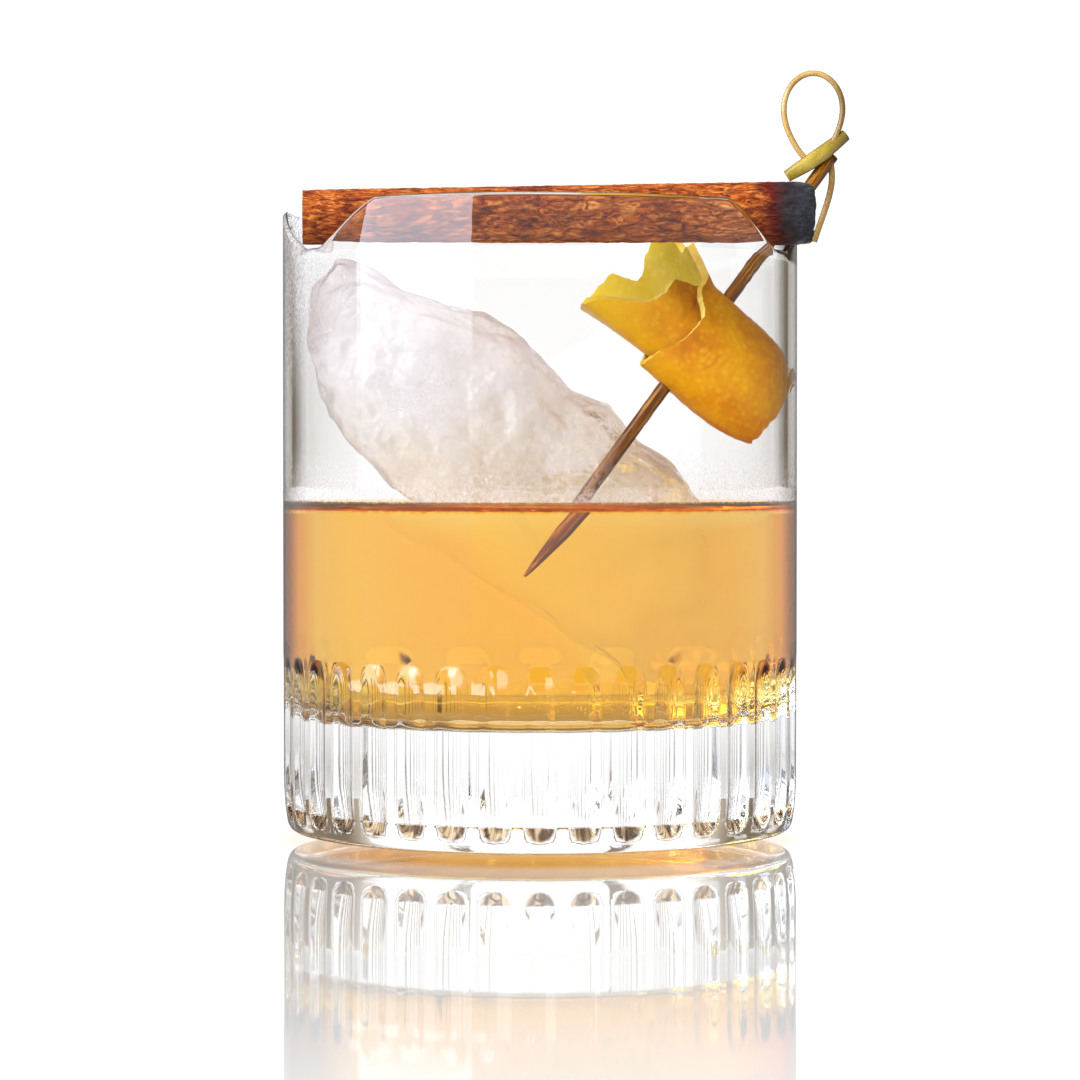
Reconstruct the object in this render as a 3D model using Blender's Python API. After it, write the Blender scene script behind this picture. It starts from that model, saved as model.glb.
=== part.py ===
"""A smoky short cocktail in its fluted glass: one big piece of ice, a cinnamon stick
laid in two notches of the rim, and a curl of citrus peel on a knotted bamboo pick.

Metres, +Z up. The origin is the middle of the glass's flat underside, the front
faces -Y and +X is to the right. Run it with blender --background --python part.py
"""
import math

import bmesh
import bpy
from mathutils import Vector, noise

# Gap left between pieces that touch
GAP = 0.0003

# Glass: a straight tumbler with a thick floor
GLASS_RADIUS = 0.0410
GLASS_HEIGHT = 0.0985
WALL = 0.0015
RIM_STEPS = 2
FLOOR_HEIGHT = 0.0180
FLOOR_CORNER = 0.0080
FLOOR_CORNER_STEPS = 4
FOOT_RADIUS = 0.0372
FOOT_BULGE_RADIUS = 0.0398
FOOT_BULGE_HEIGHT = 0.0010
WALL_TOP_OF_FLUTES = 0.0305

# Flutes: round-ended upright grooves round the base
FLUTE_COUNT = 38
FLUTE_WIDTH = 0.00465
FLUTE_DEPTH = 0.0009
FLUTE_BOTTOM = 0.0020
FLUTE_TOP = 0.0282
FLUTE_END_LENGTH = 0.0024
FLUTE_SIDE_SHARE = 0.58

# Notches in the rim, by their angle from the front, positive to the right (degrees)
NOTCH_DEPTH = 0.0070
NOTCHES = ((-60.0, 4.0, 28.0, 22.0), (67.0, 4.0, 22.0, 28.0))
NOTCH_EASE = 0.6

# Drink
DRINK_LEVEL = 0.0510
DRINK_SIDES = 76

# Ice: one long chunk leaning on the left wall, standing on the floor at the right
ICE_CORNERS = (
    (-0.0336, 0.0922),
    (-0.0192, 0.0868),
    (-0.0100, 0.0838),
    (-0.0035, 0.0802),
    (0.0036, 0.0732),
    (0.0104, 0.0683),
    (0.0162, 0.0620),
    (0.0256, 0.0556),
    (0.0290, 0.0490),
    (0.0318, 0.0366),
    (0.0348, 0.0250),
    (0.0290, 0.0192),
    (0.0190, 0.0192),
    (0.0125, 0.0226),
    (0.0037, 0.0308),
    (-0.0110, 0.0430),
    (-0.0224, 0.0530),
    (-0.0300, 0.0596),
    (-0.0366, 0.0690),
    (-0.0384, 0.0740),
    (-0.0384, 0.0860),
    (-0.0372, 0.0915),
)
ICE_MIDDLE_Y = 0.0045
ICE_HALF_THICKNESS = 0.0132
ICE_POINTS_ROUND = 30
ICE_LAYERS = (-72.0, -50.0, -25.0, 0.0, 25.0, 50.0, 72.0)
ICE_SQUARENESS = 0.42
ICE_LUMP = 0.0010
ICE_LUMP_SIZE = 0.0110
ICE_SEED = Vector((3.1, 7.4, 1.9))

# Cinnamon stick: a rolled quill, charred at its right end
STICK_LEFT = Vector((-0.0365, -0.0207, 0.0))
STICK_RIGHT = Vector((0.0420, -0.0156, 0.0))
STICK_LEFT_RADIUS = 0.00435
STICK_RIGHT_RADIUS = 0.00515
STICK_LEFT_UNDERSIDE = 0.0918
STICK_RIGHT_UNDERSIDE = 0.0920
STICK_BARK = 0.0011
STICK_PITCH = 0.0016
STICK_TURNS = 1.45
STICK_STEPS = 24
STICK_RINGS = 8
STICK_SEAM_TURN = 0.30
CHAR_LENGTH = 0.0060
CHAR_ROUNDING = 0.0011
STICK_WAVE = 0.00022

# Bamboo pick: the stem's tip hangs in the drink and its knot stands over the rim
PICK_TIP = Vector((-0.0020, -0.0145, 0.0410))
PICK_REST = Vector((0.0400, -0.0034, 0.0985))
PICK_RADIUS = 0.00108
PICK_POINT_LENGTH = 0.0085
PICK_SIDES = 8
PICK_TOP_SHARE = 1.155
STRAND_RADIUS = 0.00058
LOOP_CENTRE = Vector((0.0434, -0.0027, 0.1134))
LOOP_HALF_WIDTH = 0.0051
LOOP_HALF_HEIGHT = 0.0070
LOOP_STEPS = 20
LOOP_TIP_PINCH = 0.45
BAND_LEFT = Vector((0.0392, -0.0029, 0.1040))
BAND_MIDDLE = Vector((0.0438, -0.0034, 0.1069))
BAND_RIGHT = Vector((0.0486, -0.0027, 0.1106))
BAND_HALF_HEIGHT = 0.00125
BAND_HALF_THICKNESS = 0.00085
TAIL_START = Vector((0.0459, -0.0028, 0.1085))
TAIL_BEND = Vector((0.0464, -0.0012, 0.1025))
TAIL_END = Vector((0.0437, -0.0012, 0.0938))

# Citrus peel: a strip rolled up on itself, its inner turn flared to the left
PEEL_ON_PICK = 0.638
PEEL_AXIS = Vector((0.76, 0.0, -0.65))
PEEL_THICKNESS = 0.0012
PEEL_INNER_RADIUS = 0.0052
PEEL_PITCH = 0.0021
PEEL_TURNS = 1.67
PEEL_STEPS = 34
PEEL_RINGS = 9
PEEL_RIGHT = 0.0165
PEEL_TAPER = 0.45
PEEL_FLARE = 0.0030
PEEL_FLARE_LIFT = 0.0022
PEEL_FLARE_START = -0.0040
PEEL_FLARE_LENGTH = 0.0120
PEEL_FRILL = 0.0005
PEEL_FRILLS_A_TURN = 5.0
PRESS_SOFTNESS = 0.0012
# How far the left cut edge reaches along the roll, by the turn from the inner end
PEEL_LEFT_EDGE = (
    (0.00, -0.0050),
    (0.25, -0.0092),
    (0.50, -0.0176),
    (0.75, -0.0160),
    (1.00, -0.0106),
    (1.10, -0.0053),
    (1.25, -0.0018),
    (1.50, -0.0044),
    (1.70, -0.0050),
)

SMOOTH_ANGLE = math.radians(32.0)


def clear_scene():
    for old in list(bpy.data.objects):
        bpy.data.objects.remove(old)


def make_material(name, colour, roughness, metallic=0.0, transmission=0.0, ior=1.45):
    material = bpy.data.materials.new(name)
    material.use_nodes = True
    shader = material.node_tree.nodes["Principled BSDF"]
    shader.inputs["Base Color"].default_value = (*colour, 1.0)
    shader.inputs["Roughness"].default_value = roughness
    shader.inputs["Metallic"].default_value = metallic
    shader.inputs["Transmission Weight"].default_value = transmission
    shader.inputs["IOR"].default_value = ior
    material.diffuse_color = (*colour, 1.0)
    return material


def add_object(name, rings, material, poles=None):
    """Skins a row of closed rings. The ends are fans to the two poles, or flat faces."""
    mesh = bpy.data.meshes.new(name)
    work = bmesh.new()
    rows = [[work.verts.new(point) for point in ring] for ring in rings]
    count = len(rows[0])
    for low, high in zip(rows, rows[1:]):
        for i in range(count):
            j = (i + 1) % count
            work.faces.new((low[i], low[j], high[j], high[i]))
    if poles:
        first = work.verts.new(poles[0])
        last = work.verts.new(poles[1])
        for i in range(count):
            j = (i + 1) % count
            work.faces.new((first, rows[0][j], rows[0][i]))
            work.faces.new((last, rows[-1][i], rows[-1][j]))
    else:
        work.faces.new(list(reversed(rows[0])))
        work.faces.new(rows[-1])
    bmesh.ops.recalc_face_normals(work, faces=work.faces)
    bmesh.ops.triangulate(work, faces=[f for f in work.faces if len(f.verts) > 4])
    work.to_mesh(mesh)
    work.free()
    mesh.shade_smooth()
    mesh.set_sharp_from_angle(angle=SMOOTH_ANGLE)
    thing = bpy.data.objects.new(name, mesh)
    thing.data.materials.append(material)
    bpy.context.scene.collection.objects.link(thing)
    return thing


def boolean(target, tool, operation):
    """Cuts or joins the target with a tool that is left out of the model."""
    tool.hide_render = True
    tool.display_type = "WIRE"
    modifier = target.modifiers.new(f"{operation.lower()} {tool.name}", "BOOLEAN")
    modifier.operation = operation
    modifier.solver = "EXACT"
    modifier.object = tool


def ease(share, strength):
    """Runs from 0 to 1 with its corners rounded by the given strength."""
    share = min(max(share, 0.0), 1.0)
    return share - strength * math.sin(2.0 * math.pi * share) / (2.0 * math.pi)


def front_angle_point(degrees, radius, z):
    """The point at an angle from the front, positive to the right."""
    angle = math.radians(degrees)
    return Vector((radius * math.sin(angle), -radius * math.cos(angle), z))


def rim_drop(degrees):
    """How far the rim dips below its full height at an angle from the front."""
    drop = 0.0
    for centre, flat, left_reach, right_reach in NOTCHES:
        offset = (degrees - centre + 180.0) % 360.0 - 180.0
        reach = right_reach if offset > 0.0 else left_reach
        drop = max(drop, 1.0 - ease((abs(offset) - flat) / (reach - flat), NOTCH_EASE))
    return drop * NOTCH_DEPTH


def flute_columns():
    """Angles round the glass with each one's share of the flute's depth."""
    pitch = 360.0 / FLUTE_COUNT
    half = math.degrees(0.5 * FLUTE_WIDTH / GLASS_RADIUS)
    across = ((-1.0, 0.0), (-FLUTE_SIDE_SHARE, 0.72), (0.0, 1.0), (FLUTE_SIDE_SHARE, 0.72), (1.0, 0.0))
    columns = []
    for flute in range(FLUTE_COUNT):
        for place, share in across:
            columns.append((flute * pitch + place * half, place, share))
    return columns


def flute_depth(z, place, share):
    """Depth of a flute at a height: it runs out along a round end, sides first."""
    end_room = FLUTE_END_LENGTH * math.sqrt(max(0.0, 1.0 - (1.0 - abs(place)) ** 2) * 0.9)
    from_bottom = (z - FLUTE_BOTTOM - end_room) / FLUTE_END_LENGTH
    from_top = (FLUTE_TOP - end_room - z) / FLUTE_END_LENGTH
    fade = min(1.0, from_bottom, from_top)
    return FLUTE_DEPTH * share * math.sqrt(max(0.0, fade))


def outer_heights():
    """Heights of the rings up the fluted outside, close together at the flutes' ends."""
    ends = (0.12, 0.55, 1.0, 1.75)
    low = [FLUTE_BOTTOM + share * FLUTE_END_LENGTH for share in ends]
    high = [FLUTE_TOP - share * FLUTE_END_LENGTH for share in reversed(ends)]
    return low + high + [WALL_TOP_OF_FLUTES]


def build_glass(material):
    columns = flute_columns()
    inner = GLASS_RADIUS - WALL
    rings = [
        [front_angle_point(angle, FOOT_RADIUS, 0.0) for angle, _, _ in columns],
        [front_angle_point(angle, FOOT_BULGE_RADIUS, FOOT_BULGE_HEIGHT) for angle, _, _ in columns],
    ]
    for z in outer_heights():
        ring = []
        for angle, place, share in columns:
            ring.append(front_angle_point(angle, GLASS_RADIUS - flute_depth(z, place, share), z))
        rings.append(ring)
    half_wall = 0.5 * WALL
    for step in range(2 * RIM_STEPS + 1):
        turn = math.pi * step / (2 * RIM_STEPS)
        radius = GLASS_RADIUS - half_wall + half_wall * math.cos(turn)
        height = GLASS_HEIGHT - half_wall + half_wall * math.sin(turn)
        rings.append([front_angle_point(a, radius, height - rim_drop(a)) for a, _, _ in columns])
    for step in range(FLOOR_CORNER_STEPS + 1):
        turn = 0.5 * math.pi * step / FLOOR_CORNER_STEPS
        radius = inner - FLOOR_CORNER + FLOOR_CORNER * math.cos(turn)
        height = FLOOR_HEIGHT + FLOOR_CORNER - FLOOR_CORNER * math.sin(turn)
        rings.append([front_angle_point(a, radius, height) for a, _, _ in columns])
    poles = (Vector((0.0, 0.0, 0.0)), Vector((0.0, 0.0, FLOOR_HEIGHT)))
    return add_object("glass", rings, material, poles)


def build_drink(material):
    """The liquid up to its level, a gap clear of the glass."""
    radius = GLASS_RADIUS - WALL - GAP
    corner = FLOOR_CORNER - GAP
    floor = FLOOR_HEIGHT + GAP
    angles = [360.0 * i / DRINK_SIDES for i in range(DRINK_SIDES)]
    rings = []
    for step in range(FLOOR_CORNER_STEPS, -1, -1):
        turn = 0.5 * math.pi * step / FLOOR_CORNER_STEPS
        place = radius - corner + corner * math.cos(turn)
        height = floor + corner - corner * math.sin(turn)
        rings.append([front_angle_point(a, place, height) for a in angles])
    rings.append([front_angle_point(a, radius, DRINK_LEVEL) for a in angles])
    poles = (Vector((0.0, 0.0, floor)), Vector((0.0, 0.0, DRINK_LEVEL)))
    return add_object("drink", rings, material, poles)


def spaced_outline(corners, count):
    """Points at even spacing along a closed outline."""
    loop = [Vector(c) for c in corners]
    edges = list(zip(loop, loop[1:] + loop[:1]))
    total = sum((b - a).length for a, b in edges)
    points = []
    for i in range(count):
        left = total * i / count
        for a, b in edges:
            length = (b - a).length
            if left <= length:
                points.append(a.lerp(b, left / length))
                break
            left -= length
    return points


def keep_in_glass(point, margin):
    """Draws a point inwards, from front or back, so that it stays within the wall."""
    limit = GLASS_RADIUS - WALL - margin
    room = math.sqrt(max(0.0, limit * limit - point.x * point.x))
    return Vector((point.x, min(max(point.y, -room), room), point.z))


def ice_rings(growth):
    """Outlines of the chunk from its front to its back, lumpy all over."""
    outline = spaced_outline(ICE_CORNERS, ICE_POINTS_ROUND)
    centre = sum(outline, Vector((0.0, 0.0))) / len(outline)
    rings = []
    for degrees in ICE_LAYERS:
        turn = math.radians(degrees)
        size = math.cos(turn) ** ICE_SQUARENESS
        y = ICE_MIDDLE_Y + (ICE_HALF_THICKNESS + growth) * math.sin(turn)
        ring = []
        for corner in outline:
            out = (corner - centre).normalized()
            flat = centre + (corner - centre) * size + out * growth
            point = Vector((flat.x, y, flat.y))
            lump = noise.noise(point / ICE_LUMP_SIZE + ICE_SEED) * ICE_LUMP
            point += Vector((out.x, 0.0, out.y)) * (lump - 0.5 * ICE_LUMP)
            point.y += lump
            ring.append(keep_in_glass(point, 2.5 * GAP - growth))
        rings.append(ring)
    return rings, centre


def build_ice(name, material, growth=0.0):
    rings, centre = ice_rings(growth)
    reach = ICE_HALF_THICKNESS + growth
    front = Vector((centre.x, ICE_MIDDLE_Y - reach, centre.y))
    back = Vector((centre.x, ICE_MIDDLE_Y + reach, centre.y))
    return add_object(name, rings, material, (front, back))


def scroll_section(inner_radius, pitch, turns, thickness, steps, start_turn):
    """A rolled sheet's cross section: out along its outer face, back along its inner."""
    outer_face = []
    inner_face = []
    for i in range(steps + 1):
        turn = turns * i / steps
        angle = 2.0 * math.pi * (turn + start_turn)
        radius = inner_radius + pitch * turn
        outer_face.append((angle, radius + 0.5 * thickness, turn))
        inner_face.append((angle, radius - 0.5 * thickness, turn))
    return outer_face + list(reversed(inner_face))


def build_stick(material):
    """A quill whose bark is rolled into a scroll, laid across the rim's notches."""
    along = STICK_RIGHT - STICK_LEFT
    length = along.length
    forward = along.normalized()
    up = Vector((0.0, 0.0, 1.0))
    side = forward.cross(up)
    shares = [i / STICK_RINGS for i in range(STICK_RINGS)]
    shares += [1.0 - CHAR_LENGTH / length, 1.0 - 0.25 * CHAR_LENGTH / length, 1.0]
    rings = []
    for share in sorted(shares):
        outside = STICK_LEFT_RADIUS + (STICK_RIGHT_RADIUS - STICK_LEFT_RADIUS) * share
        underside = STICK_LEFT_UNDERSIDE + (STICK_RIGHT_UNDERSIDE - STICK_LEFT_UNDERSIDE) * share
        centre = STICK_LEFT + along * share + up * (underside + outside)
        from_end = (1.0 - share) * length
        burn = max(0.0, 1.0 - from_end / CHAR_LENGTH) ** 2
        inner = outside - STICK_PITCH * STICK_TURNS - 0.5 * STICK_BARK
        section = scroll_section(
            inner, STICK_PITCH, STICK_TURNS, STICK_BARK, STICK_STEPS, STICK_SEAM_TURN
        )
        ring = []
        for angle, radius, turn in section:
            wave = STICK_WAVE * (math.sin(3.0 * angle + 40.0 * share) - 1.0)
            radius += wave * turn / STICK_TURNS - burn * CHAR_ROUNDING * turn / STICK_TURNS
            ring.append(centre + side * radius * math.cos(angle) + up * radius * math.sin(angle))
        rings.append(ring)
    return add_object("cinnamon_stick", rings, material)


def tube_rings(path, widths, heights, sides, flat_up=Vector((0.0, -1.0, 0.0))):
    """Elliptical rings along a path, the widths lying square to flat_up."""
    rings = []
    for i, point in enumerate(path):
        before = path[max(i - 1, 0)]
        after = path[min(i + 1, len(path) - 1)]
        forward = (after - before).normalized()
        across = forward.cross(flat_up).normalized()
        upward = across.cross(forward).normalized()
        ring = []
        for side in range(sides):
            angle = 2.0 * math.pi * side / sides
            ring.append(
                point + across * widths[i] * math.cos(angle) + upward * heights[i] * math.sin(angle)
            )
        rings.append(ring)
    return rings


def curve_through(points, steps):
    """A smooth path through a few points, at even steps between them."""
    padded = [points[0] * 2.0 - points[1]] + list(points) + [points[-1] * 2.0 - points[-2]]
    path = []
    for i in range(1, len(padded) - 2):
        before, start, end, after = padded[i - 1 : i + 3]
        for step in range(steps):
            t = step / steps
            path.append(
                0.5
                * (
                    start * 2.0
                    + (end - before) * t
                    + (before * 2.0 - start * 5.0 + end * 4.0 - after) * t * t
                    + (start * 3.0 - before - end * 3.0 + after) * t * t * t
                )
            )
    path.append(points[-1].copy())
    return path


def stem_rings(growth):
    """The straight stem from its point in the drink to the knot."""
    along = PICK_REST - PICK_TIP
    forward = along.normalized()
    shares = [0.0, 0.35, 1.0]
    path = [PICK_TIP - forward * growth + forward * PICK_POINT_LENGTH * s for s in shares]
    radii = [0.00022 + growth, PICK_RADIUS * 0.62 + growth, PICK_RADIUS + growth]
    path.append(PICK_TIP + along * PICK_TOP_SHARE)
    radii.append(PICK_RADIUS + growth)
    return tube_rings(path, radii, radii, PICK_SIDES)


def loop_path():
    """The bent strand above the knot: a teardrop, pinched towards the knot."""
    path = []
    for i in range(LOOP_STEPS + 1):
        turn = 2.0 * math.pi * i / LOOP_STEPS
        low = 0.5 - 0.5 * math.cos(turn)
        width = LOOP_HALF_WIDTH * (1.0 - LOOP_TIP_PINCH * (1.0 - low) ** 2)
        x = width * math.sin(turn)
        z = -LOOP_HALF_HEIGHT * math.cos(turn)
        path.append(LOOP_CENTRE + Vector((x, -0.0006 * math.cos(0.5 * turn), z)))
    return path


def build_pick(material):
    """Stem, knot band, loop and tail, all one strip of bamboo, joined into one body."""
    pick = add_object("pick", stem_rings(0.0), material)
    loop = loop_path()
    thin = [STRAND_RADIUS] * len(loop)
    strand = add_object("pick_loop", tube_rings(loop, thin, thin, PICK_SIDES), material)
    band_path = curve_through((BAND_LEFT, BAND_MIDDLE, BAND_RIGHT), 4)
    wide = [BAND_HALF_HEIGHT] * len(band_path)
    thick = [BAND_HALF_THICKNESS] * len(band_path)
    band = add_object("pick_band", tube_rings(band_path, wide, thick, PICK_SIDES), material)
    tail_path = curve_through((TAIL_START, TAIL_BEND, TAIL_END), 4)
    tail_radii = [STRAND_RADIUS] * len(tail_path)
    tail = add_object("pick_tail", tube_rings(tail_path, tail_radii, tail_radii, 6), material)
    for piece in (strand, band, tail):
        boolean(pick, piece, "UNION")
    return pick


def left_edge(turn):
    """The left cut edge's place along the roll, between the named turns."""
    for (start, low), (end, high) in zip(PEEL_LEFT_EDGE, PEEL_LEFT_EDGE[1:]):
        if turn <= end:
            return low + (high - low) * ease((turn - start) / (end - start), 1.0)
    return PEEL_LEFT_EDGE[-1][1]


def press_in_glass(point):
    """Flattens what would cross the wall, more gently the further it is inside."""
    limit = GLASS_RADIUS - WALL - GAP
    reach = math.hypot(point.x, point.y)
    pressed = limit - PRESS_SOFTNESS * math.log1p(math.exp((limit - reach) / PRESS_SOFTNESS))
    return Vector((point.x * pressed / reach, point.y * pressed / reach, point.z))


def peel_rings():
    axis = PEEL_AXIS.normalized()
    centre = PICK_TIP.lerp(PICK_REST, PEEL_ON_PICK)
    pick_way = (PICK_REST - PICK_TIP).normalized()
    up = (pick_way - axis * pick_way.dot(axis)).normalized()
    front = axis.cross(up)
    front = front if front.y < 0.0 else -front
    section = scroll_section(
        PEEL_INNER_RADIUS, PEEL_PITCH, PEEL_TURNS, PEEL_THICKNESS, PEEL_STEPS, 0.0
    )
    rings = []
    for i in range(PEEL_RINGS + 1):
        share = i / PEEL_RINGS
        ring = []
        for angle, radius, turn in section:
            left = left_edge(turn)
            along = left + (PEEL_RIGHT - left) * share
            frill = math.sin(PEEL_FRILLS_A_TURN * angle) * PEEL_FRILL * (1.0 - share) ** 3
            flare = max(0.0, (PEEL_FLARE_START - along) / PEEL_FLARE_LENGTH)
            taper = max(0.0, along / PEEL_RIGHT) ** 2 * PEEL_TAPER
            radius = radius + frill + flare * PEEL_FLARE
            radius -= taper * (radius - PEEL_INNER_RADIUS * 0.75)
            point = centre + axis * along + up * (radius * math.cos(angle) + flare * PEEL_FLARE_LIFT)
            ring.append(press_in_glass(point + front * radius * math.sin(angle)))
        rings.append(ring)
    return rings


def build_peel(material):
    return add_object("peel", peel_rings(), material)


def main():
    clear_scene()
    glass = make_material("clear glass", (0.93, 0.95, 0.96), 0.02, transmission=1.0, ior=1.5)
    amber = make_material("amber drink", (0.96, 0.58, 0.11), 0.05, transmission=0.8, ior=1.35)
    frozen = make_material("ice", (0.86, 0.84, 0.85), 0.2, transmission=0.6, ior=1.31)
    bark = make_material("cinnamon bark", (0.36, 0.10, 0.035), 0.7)
    bamboo = make_material("bamboo", (0.42, 0.22, 0.06), 0.5)
    rind = make_material("citrus peel", (0.87, 0.45, 0.0), 0.4)
    build_glass(glass)
    drink = build_drink(amber)
    build_ice("ice", frozen)
    ice_room = build_ice("ice_room", frozen, growth=1.3 * GAP)
    build_stick(bark)
    build_pick(bamboo)
    peel = build_peel(rind)
    pick_room = add_object("pick_room", stem_rings(1.2 * GAP), bamboo)
    boolean(drink, ice_room, "DIFFERENCE")
    boolean(drink, pick_room, "DIFFERENCE")
    boolean(peel, pick_room, "DIFFERENCE")


main()
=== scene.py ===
import math

import bmesh
import bpy
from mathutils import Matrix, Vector, noise
from mathutils.bvhtree import BVHTree


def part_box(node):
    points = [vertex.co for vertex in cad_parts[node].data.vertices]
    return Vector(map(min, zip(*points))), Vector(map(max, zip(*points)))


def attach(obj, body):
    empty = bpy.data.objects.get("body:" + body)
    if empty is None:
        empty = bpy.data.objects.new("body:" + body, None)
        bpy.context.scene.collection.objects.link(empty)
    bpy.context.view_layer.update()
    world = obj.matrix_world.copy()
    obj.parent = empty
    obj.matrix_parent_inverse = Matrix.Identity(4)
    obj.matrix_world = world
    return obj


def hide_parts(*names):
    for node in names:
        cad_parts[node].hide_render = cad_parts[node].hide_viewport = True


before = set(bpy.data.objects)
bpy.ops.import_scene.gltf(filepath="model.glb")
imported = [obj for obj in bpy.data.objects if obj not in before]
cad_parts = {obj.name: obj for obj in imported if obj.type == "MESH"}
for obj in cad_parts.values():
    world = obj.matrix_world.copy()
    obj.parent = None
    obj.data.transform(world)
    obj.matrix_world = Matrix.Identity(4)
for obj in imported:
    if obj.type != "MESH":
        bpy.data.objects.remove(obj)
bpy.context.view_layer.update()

# Camera: straight at the front, a little above the level of the drink, looking down
# by about a degree, with a long lens
CAMERA_DISTANCE = 0.533
CAMERA_HEIGHT = 0.0566
CAMERA_TILT_DOWN = math.radians(1.118)
CAMERA_SENSOR = 36.0
CAMERA_LENS = 111.0

camera = bpy.data.objects.new("camera", bpy.data.cameras.new("camera"))
bpy.context.scene.collection.objects.link(camera)
camera.data.sensor_width = CAMERA_SENSOR
camera.data.lens = CAMERA_LENS
camera.location = (0.0, -CAMERA_DISTANCE, CAMERA_HEIGHT)
camera.rotation_euler = (math.radians(90.0) - CAMERA_TILT_DOWN, 0.0, 0.0)
camera.data.clip_start = 0.01
bpy.context.scene.camera = camera

# Tumbler: clear soda-lime glass, pressed with round-ended flutes round its thick foot,
# fire polished, its thin rim cut with two notches that cradle the stick
MM = 0.001
GLASS_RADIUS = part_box("glass")[1].x
GLASS_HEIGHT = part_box("glass")[1].z
WALL = 1.5 * MM
FOOT_PROFILE = [
    (r * MM, z * MM)
    for r, z in (
        (37.2, 0.0), (38.6, 0.08), (39.4, 0.3), (39.85, 0.6), (40.15, 1.1), (40.32, 1.6),
        (40.45, 2.3), (40.75, 4.0), (40.93, 6.5), (41.0, 9.0),
    )
]
FLOOR_HEIGHT = 18.0 * MM
FLOOR_CORNER = 8.0 * MM
FLUTE_COUNT = 38
FLUTE_WIDTH = 4.65 * MM
FLUTE_DEPTH = 0.95 * MM
FLUTE_SCOOP = 0.65 * MM
FLUTE_SCOOP_TOP = 9.5 * MM
FLUTE_BOTTOM = 2.0 * MM
FLUTE_TOP = 28.2 * MM
FLUTE_DOME = 4.2 * MM
FLUTE_SOFTNESS = 0.10
FLUTE_LAND = 0.014
FLUTE_COLUMNS = (-1.08, -0.93, -0.70, -0.36, 0.0, 0.36, 0.70, 0.93, 1.08, 1.22, 1.46, 1.70)
FLUTE_RING_HEIGHTS = [h * MM for h in (12.0, 16.0, 20.0, 23.0)]
NOTCH_DEPTH = 7.0 * MM
NOTCHES = ((-60.0, 4.0, 28.0, 22.0), (67.0, 4.0, 22.0, 28.0))
NOTCH_EASE = 0.12
WALL_RING_HEIGHTS = [h * MM for h in (31.5, 38.0, 46.0, 54.0, 62.0, 70.0, 78.0, 85.0, 89.8)]
FLOOR_RING_RADII = [r * MM for r in (24.0, 16.0, 8.0)]
RIM_STEPS = 8
CORNER_STEPS = 12
FLUTE_END_STEPS = 12
GLASS_IOR = 1.5
OUTER_SKIN = 1.8 * MM
SCOOP_SHADE_STREAK_DENSITY = tuple(per_mm / MM for per_mm in (1.3, 1.3, 0.15))
MIST_DENSITY = 1.5 / MM
MIST_FROM = 52.0 * MM
MIST_TO = 62.0 * MM
CORNER_MIST_FROM = Vector((-31.0, 0.0, 64.0)) * MM
CORNER_MIST_TO = Vector((-40.0, 0.0, 94.0)) * MM


def deselect_all():
    if bpy.context.object and bpy.context.object.mode != "OBJECT":
        bpy.ops.object.mode_set(mode="OBJECT")
    bpy.ops.object.select_all(action="DESELECT")


def select_only(thing):
    deselect_all()
    thing.select_set(True)
    bpy.context.view_layer.objects.active = thing


def grow_rings(name, rings):
    """Extrudes a circle of edges from ring to ring and closes both of its ends."""
    deselect_all()
    count = len(rings[0])
    bpy.ops.mesh.primitive_circle_add(vertices=count, radius=MM)
    piece = bpy.context.object
    piece.name = name
    piece.data.name = name
    bpy.ops.object.mode_set(mode="EDIT")
    work = bmesh.from_edit_mesh(piece.data)
    work.verts.layers.int.new("column")
    column = work.verts.layers.int["column"]
    for vert in work.verts:
        vert[column] = vert.index
        vert.co = rings[0][vert.index]
    bpy.ops.mesh.select_all(action="SELECT")
    for ring in rings[1:]:
        bpy.ops.mesh.extrude_edges_move()
        work = bmesh.from_edit_mesh(piece.data)
        column = work.verts.layers.int["column"]
        for vert in work.verts:
            if vert.select:
                vert.co = ring[vert[column]]
    close_end()
    bpy.ops.mesh.select_all(action="DESELECT")
    work = bmesh.from_edit_mesh(piece.data)
    work.verts.ensure_lookup_table()
    for vert in work.verts[:count]:
        vert.select = True
    work.select_flush_mode()
    close_end()
    bpy.ops.mesh.select_all(action="SELECT")
    bpy.ops.mesh.normals_make_consistent(inside=False)
    bpy.ops.object.mode_set(mode="OBJECT")
    bpy.ops.object.shade_smooth()
    return piece


def close_end():
    """Closes the selected ring with faces that meet in its middle."""
    bpy.ops.mesh.extrude_edges_move()
    bpy.ops.mesh.merge(type="CENTER")


def ease(share, strength):
    """Runs from 0 to 1 with its corners rounded by the given strength."""
    share = min(max(share, 0.0), 1.0)
    return share - strength * math.sin(2.0 * math.pi * share) / (2.0 * math.pi)


def around(degrees, radius, z):
    """The point at an angle from the front, positive to the right."""
    angle = math.radians(degrees)
    return Vector((radius * math.sin(angle), -radius * math.cos(angle), z))


def rim_drop(degrees):
    """How far the rim dips at an angle from the front."""
    drop = 0.0
    for centre, flat, left_reach, right_reach in NOTCHES:
        offset = (degrees - centre + 180.0) % 360.0 - 180.0
        reach = right_reach if offset > 0.0 else left_reach
        drop = max(drop, 1.0 - ease((abs(offset) - flat) / (reach - flat), NOTCH_EASE))
    return drop * NOTCH_DEPTH


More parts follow.
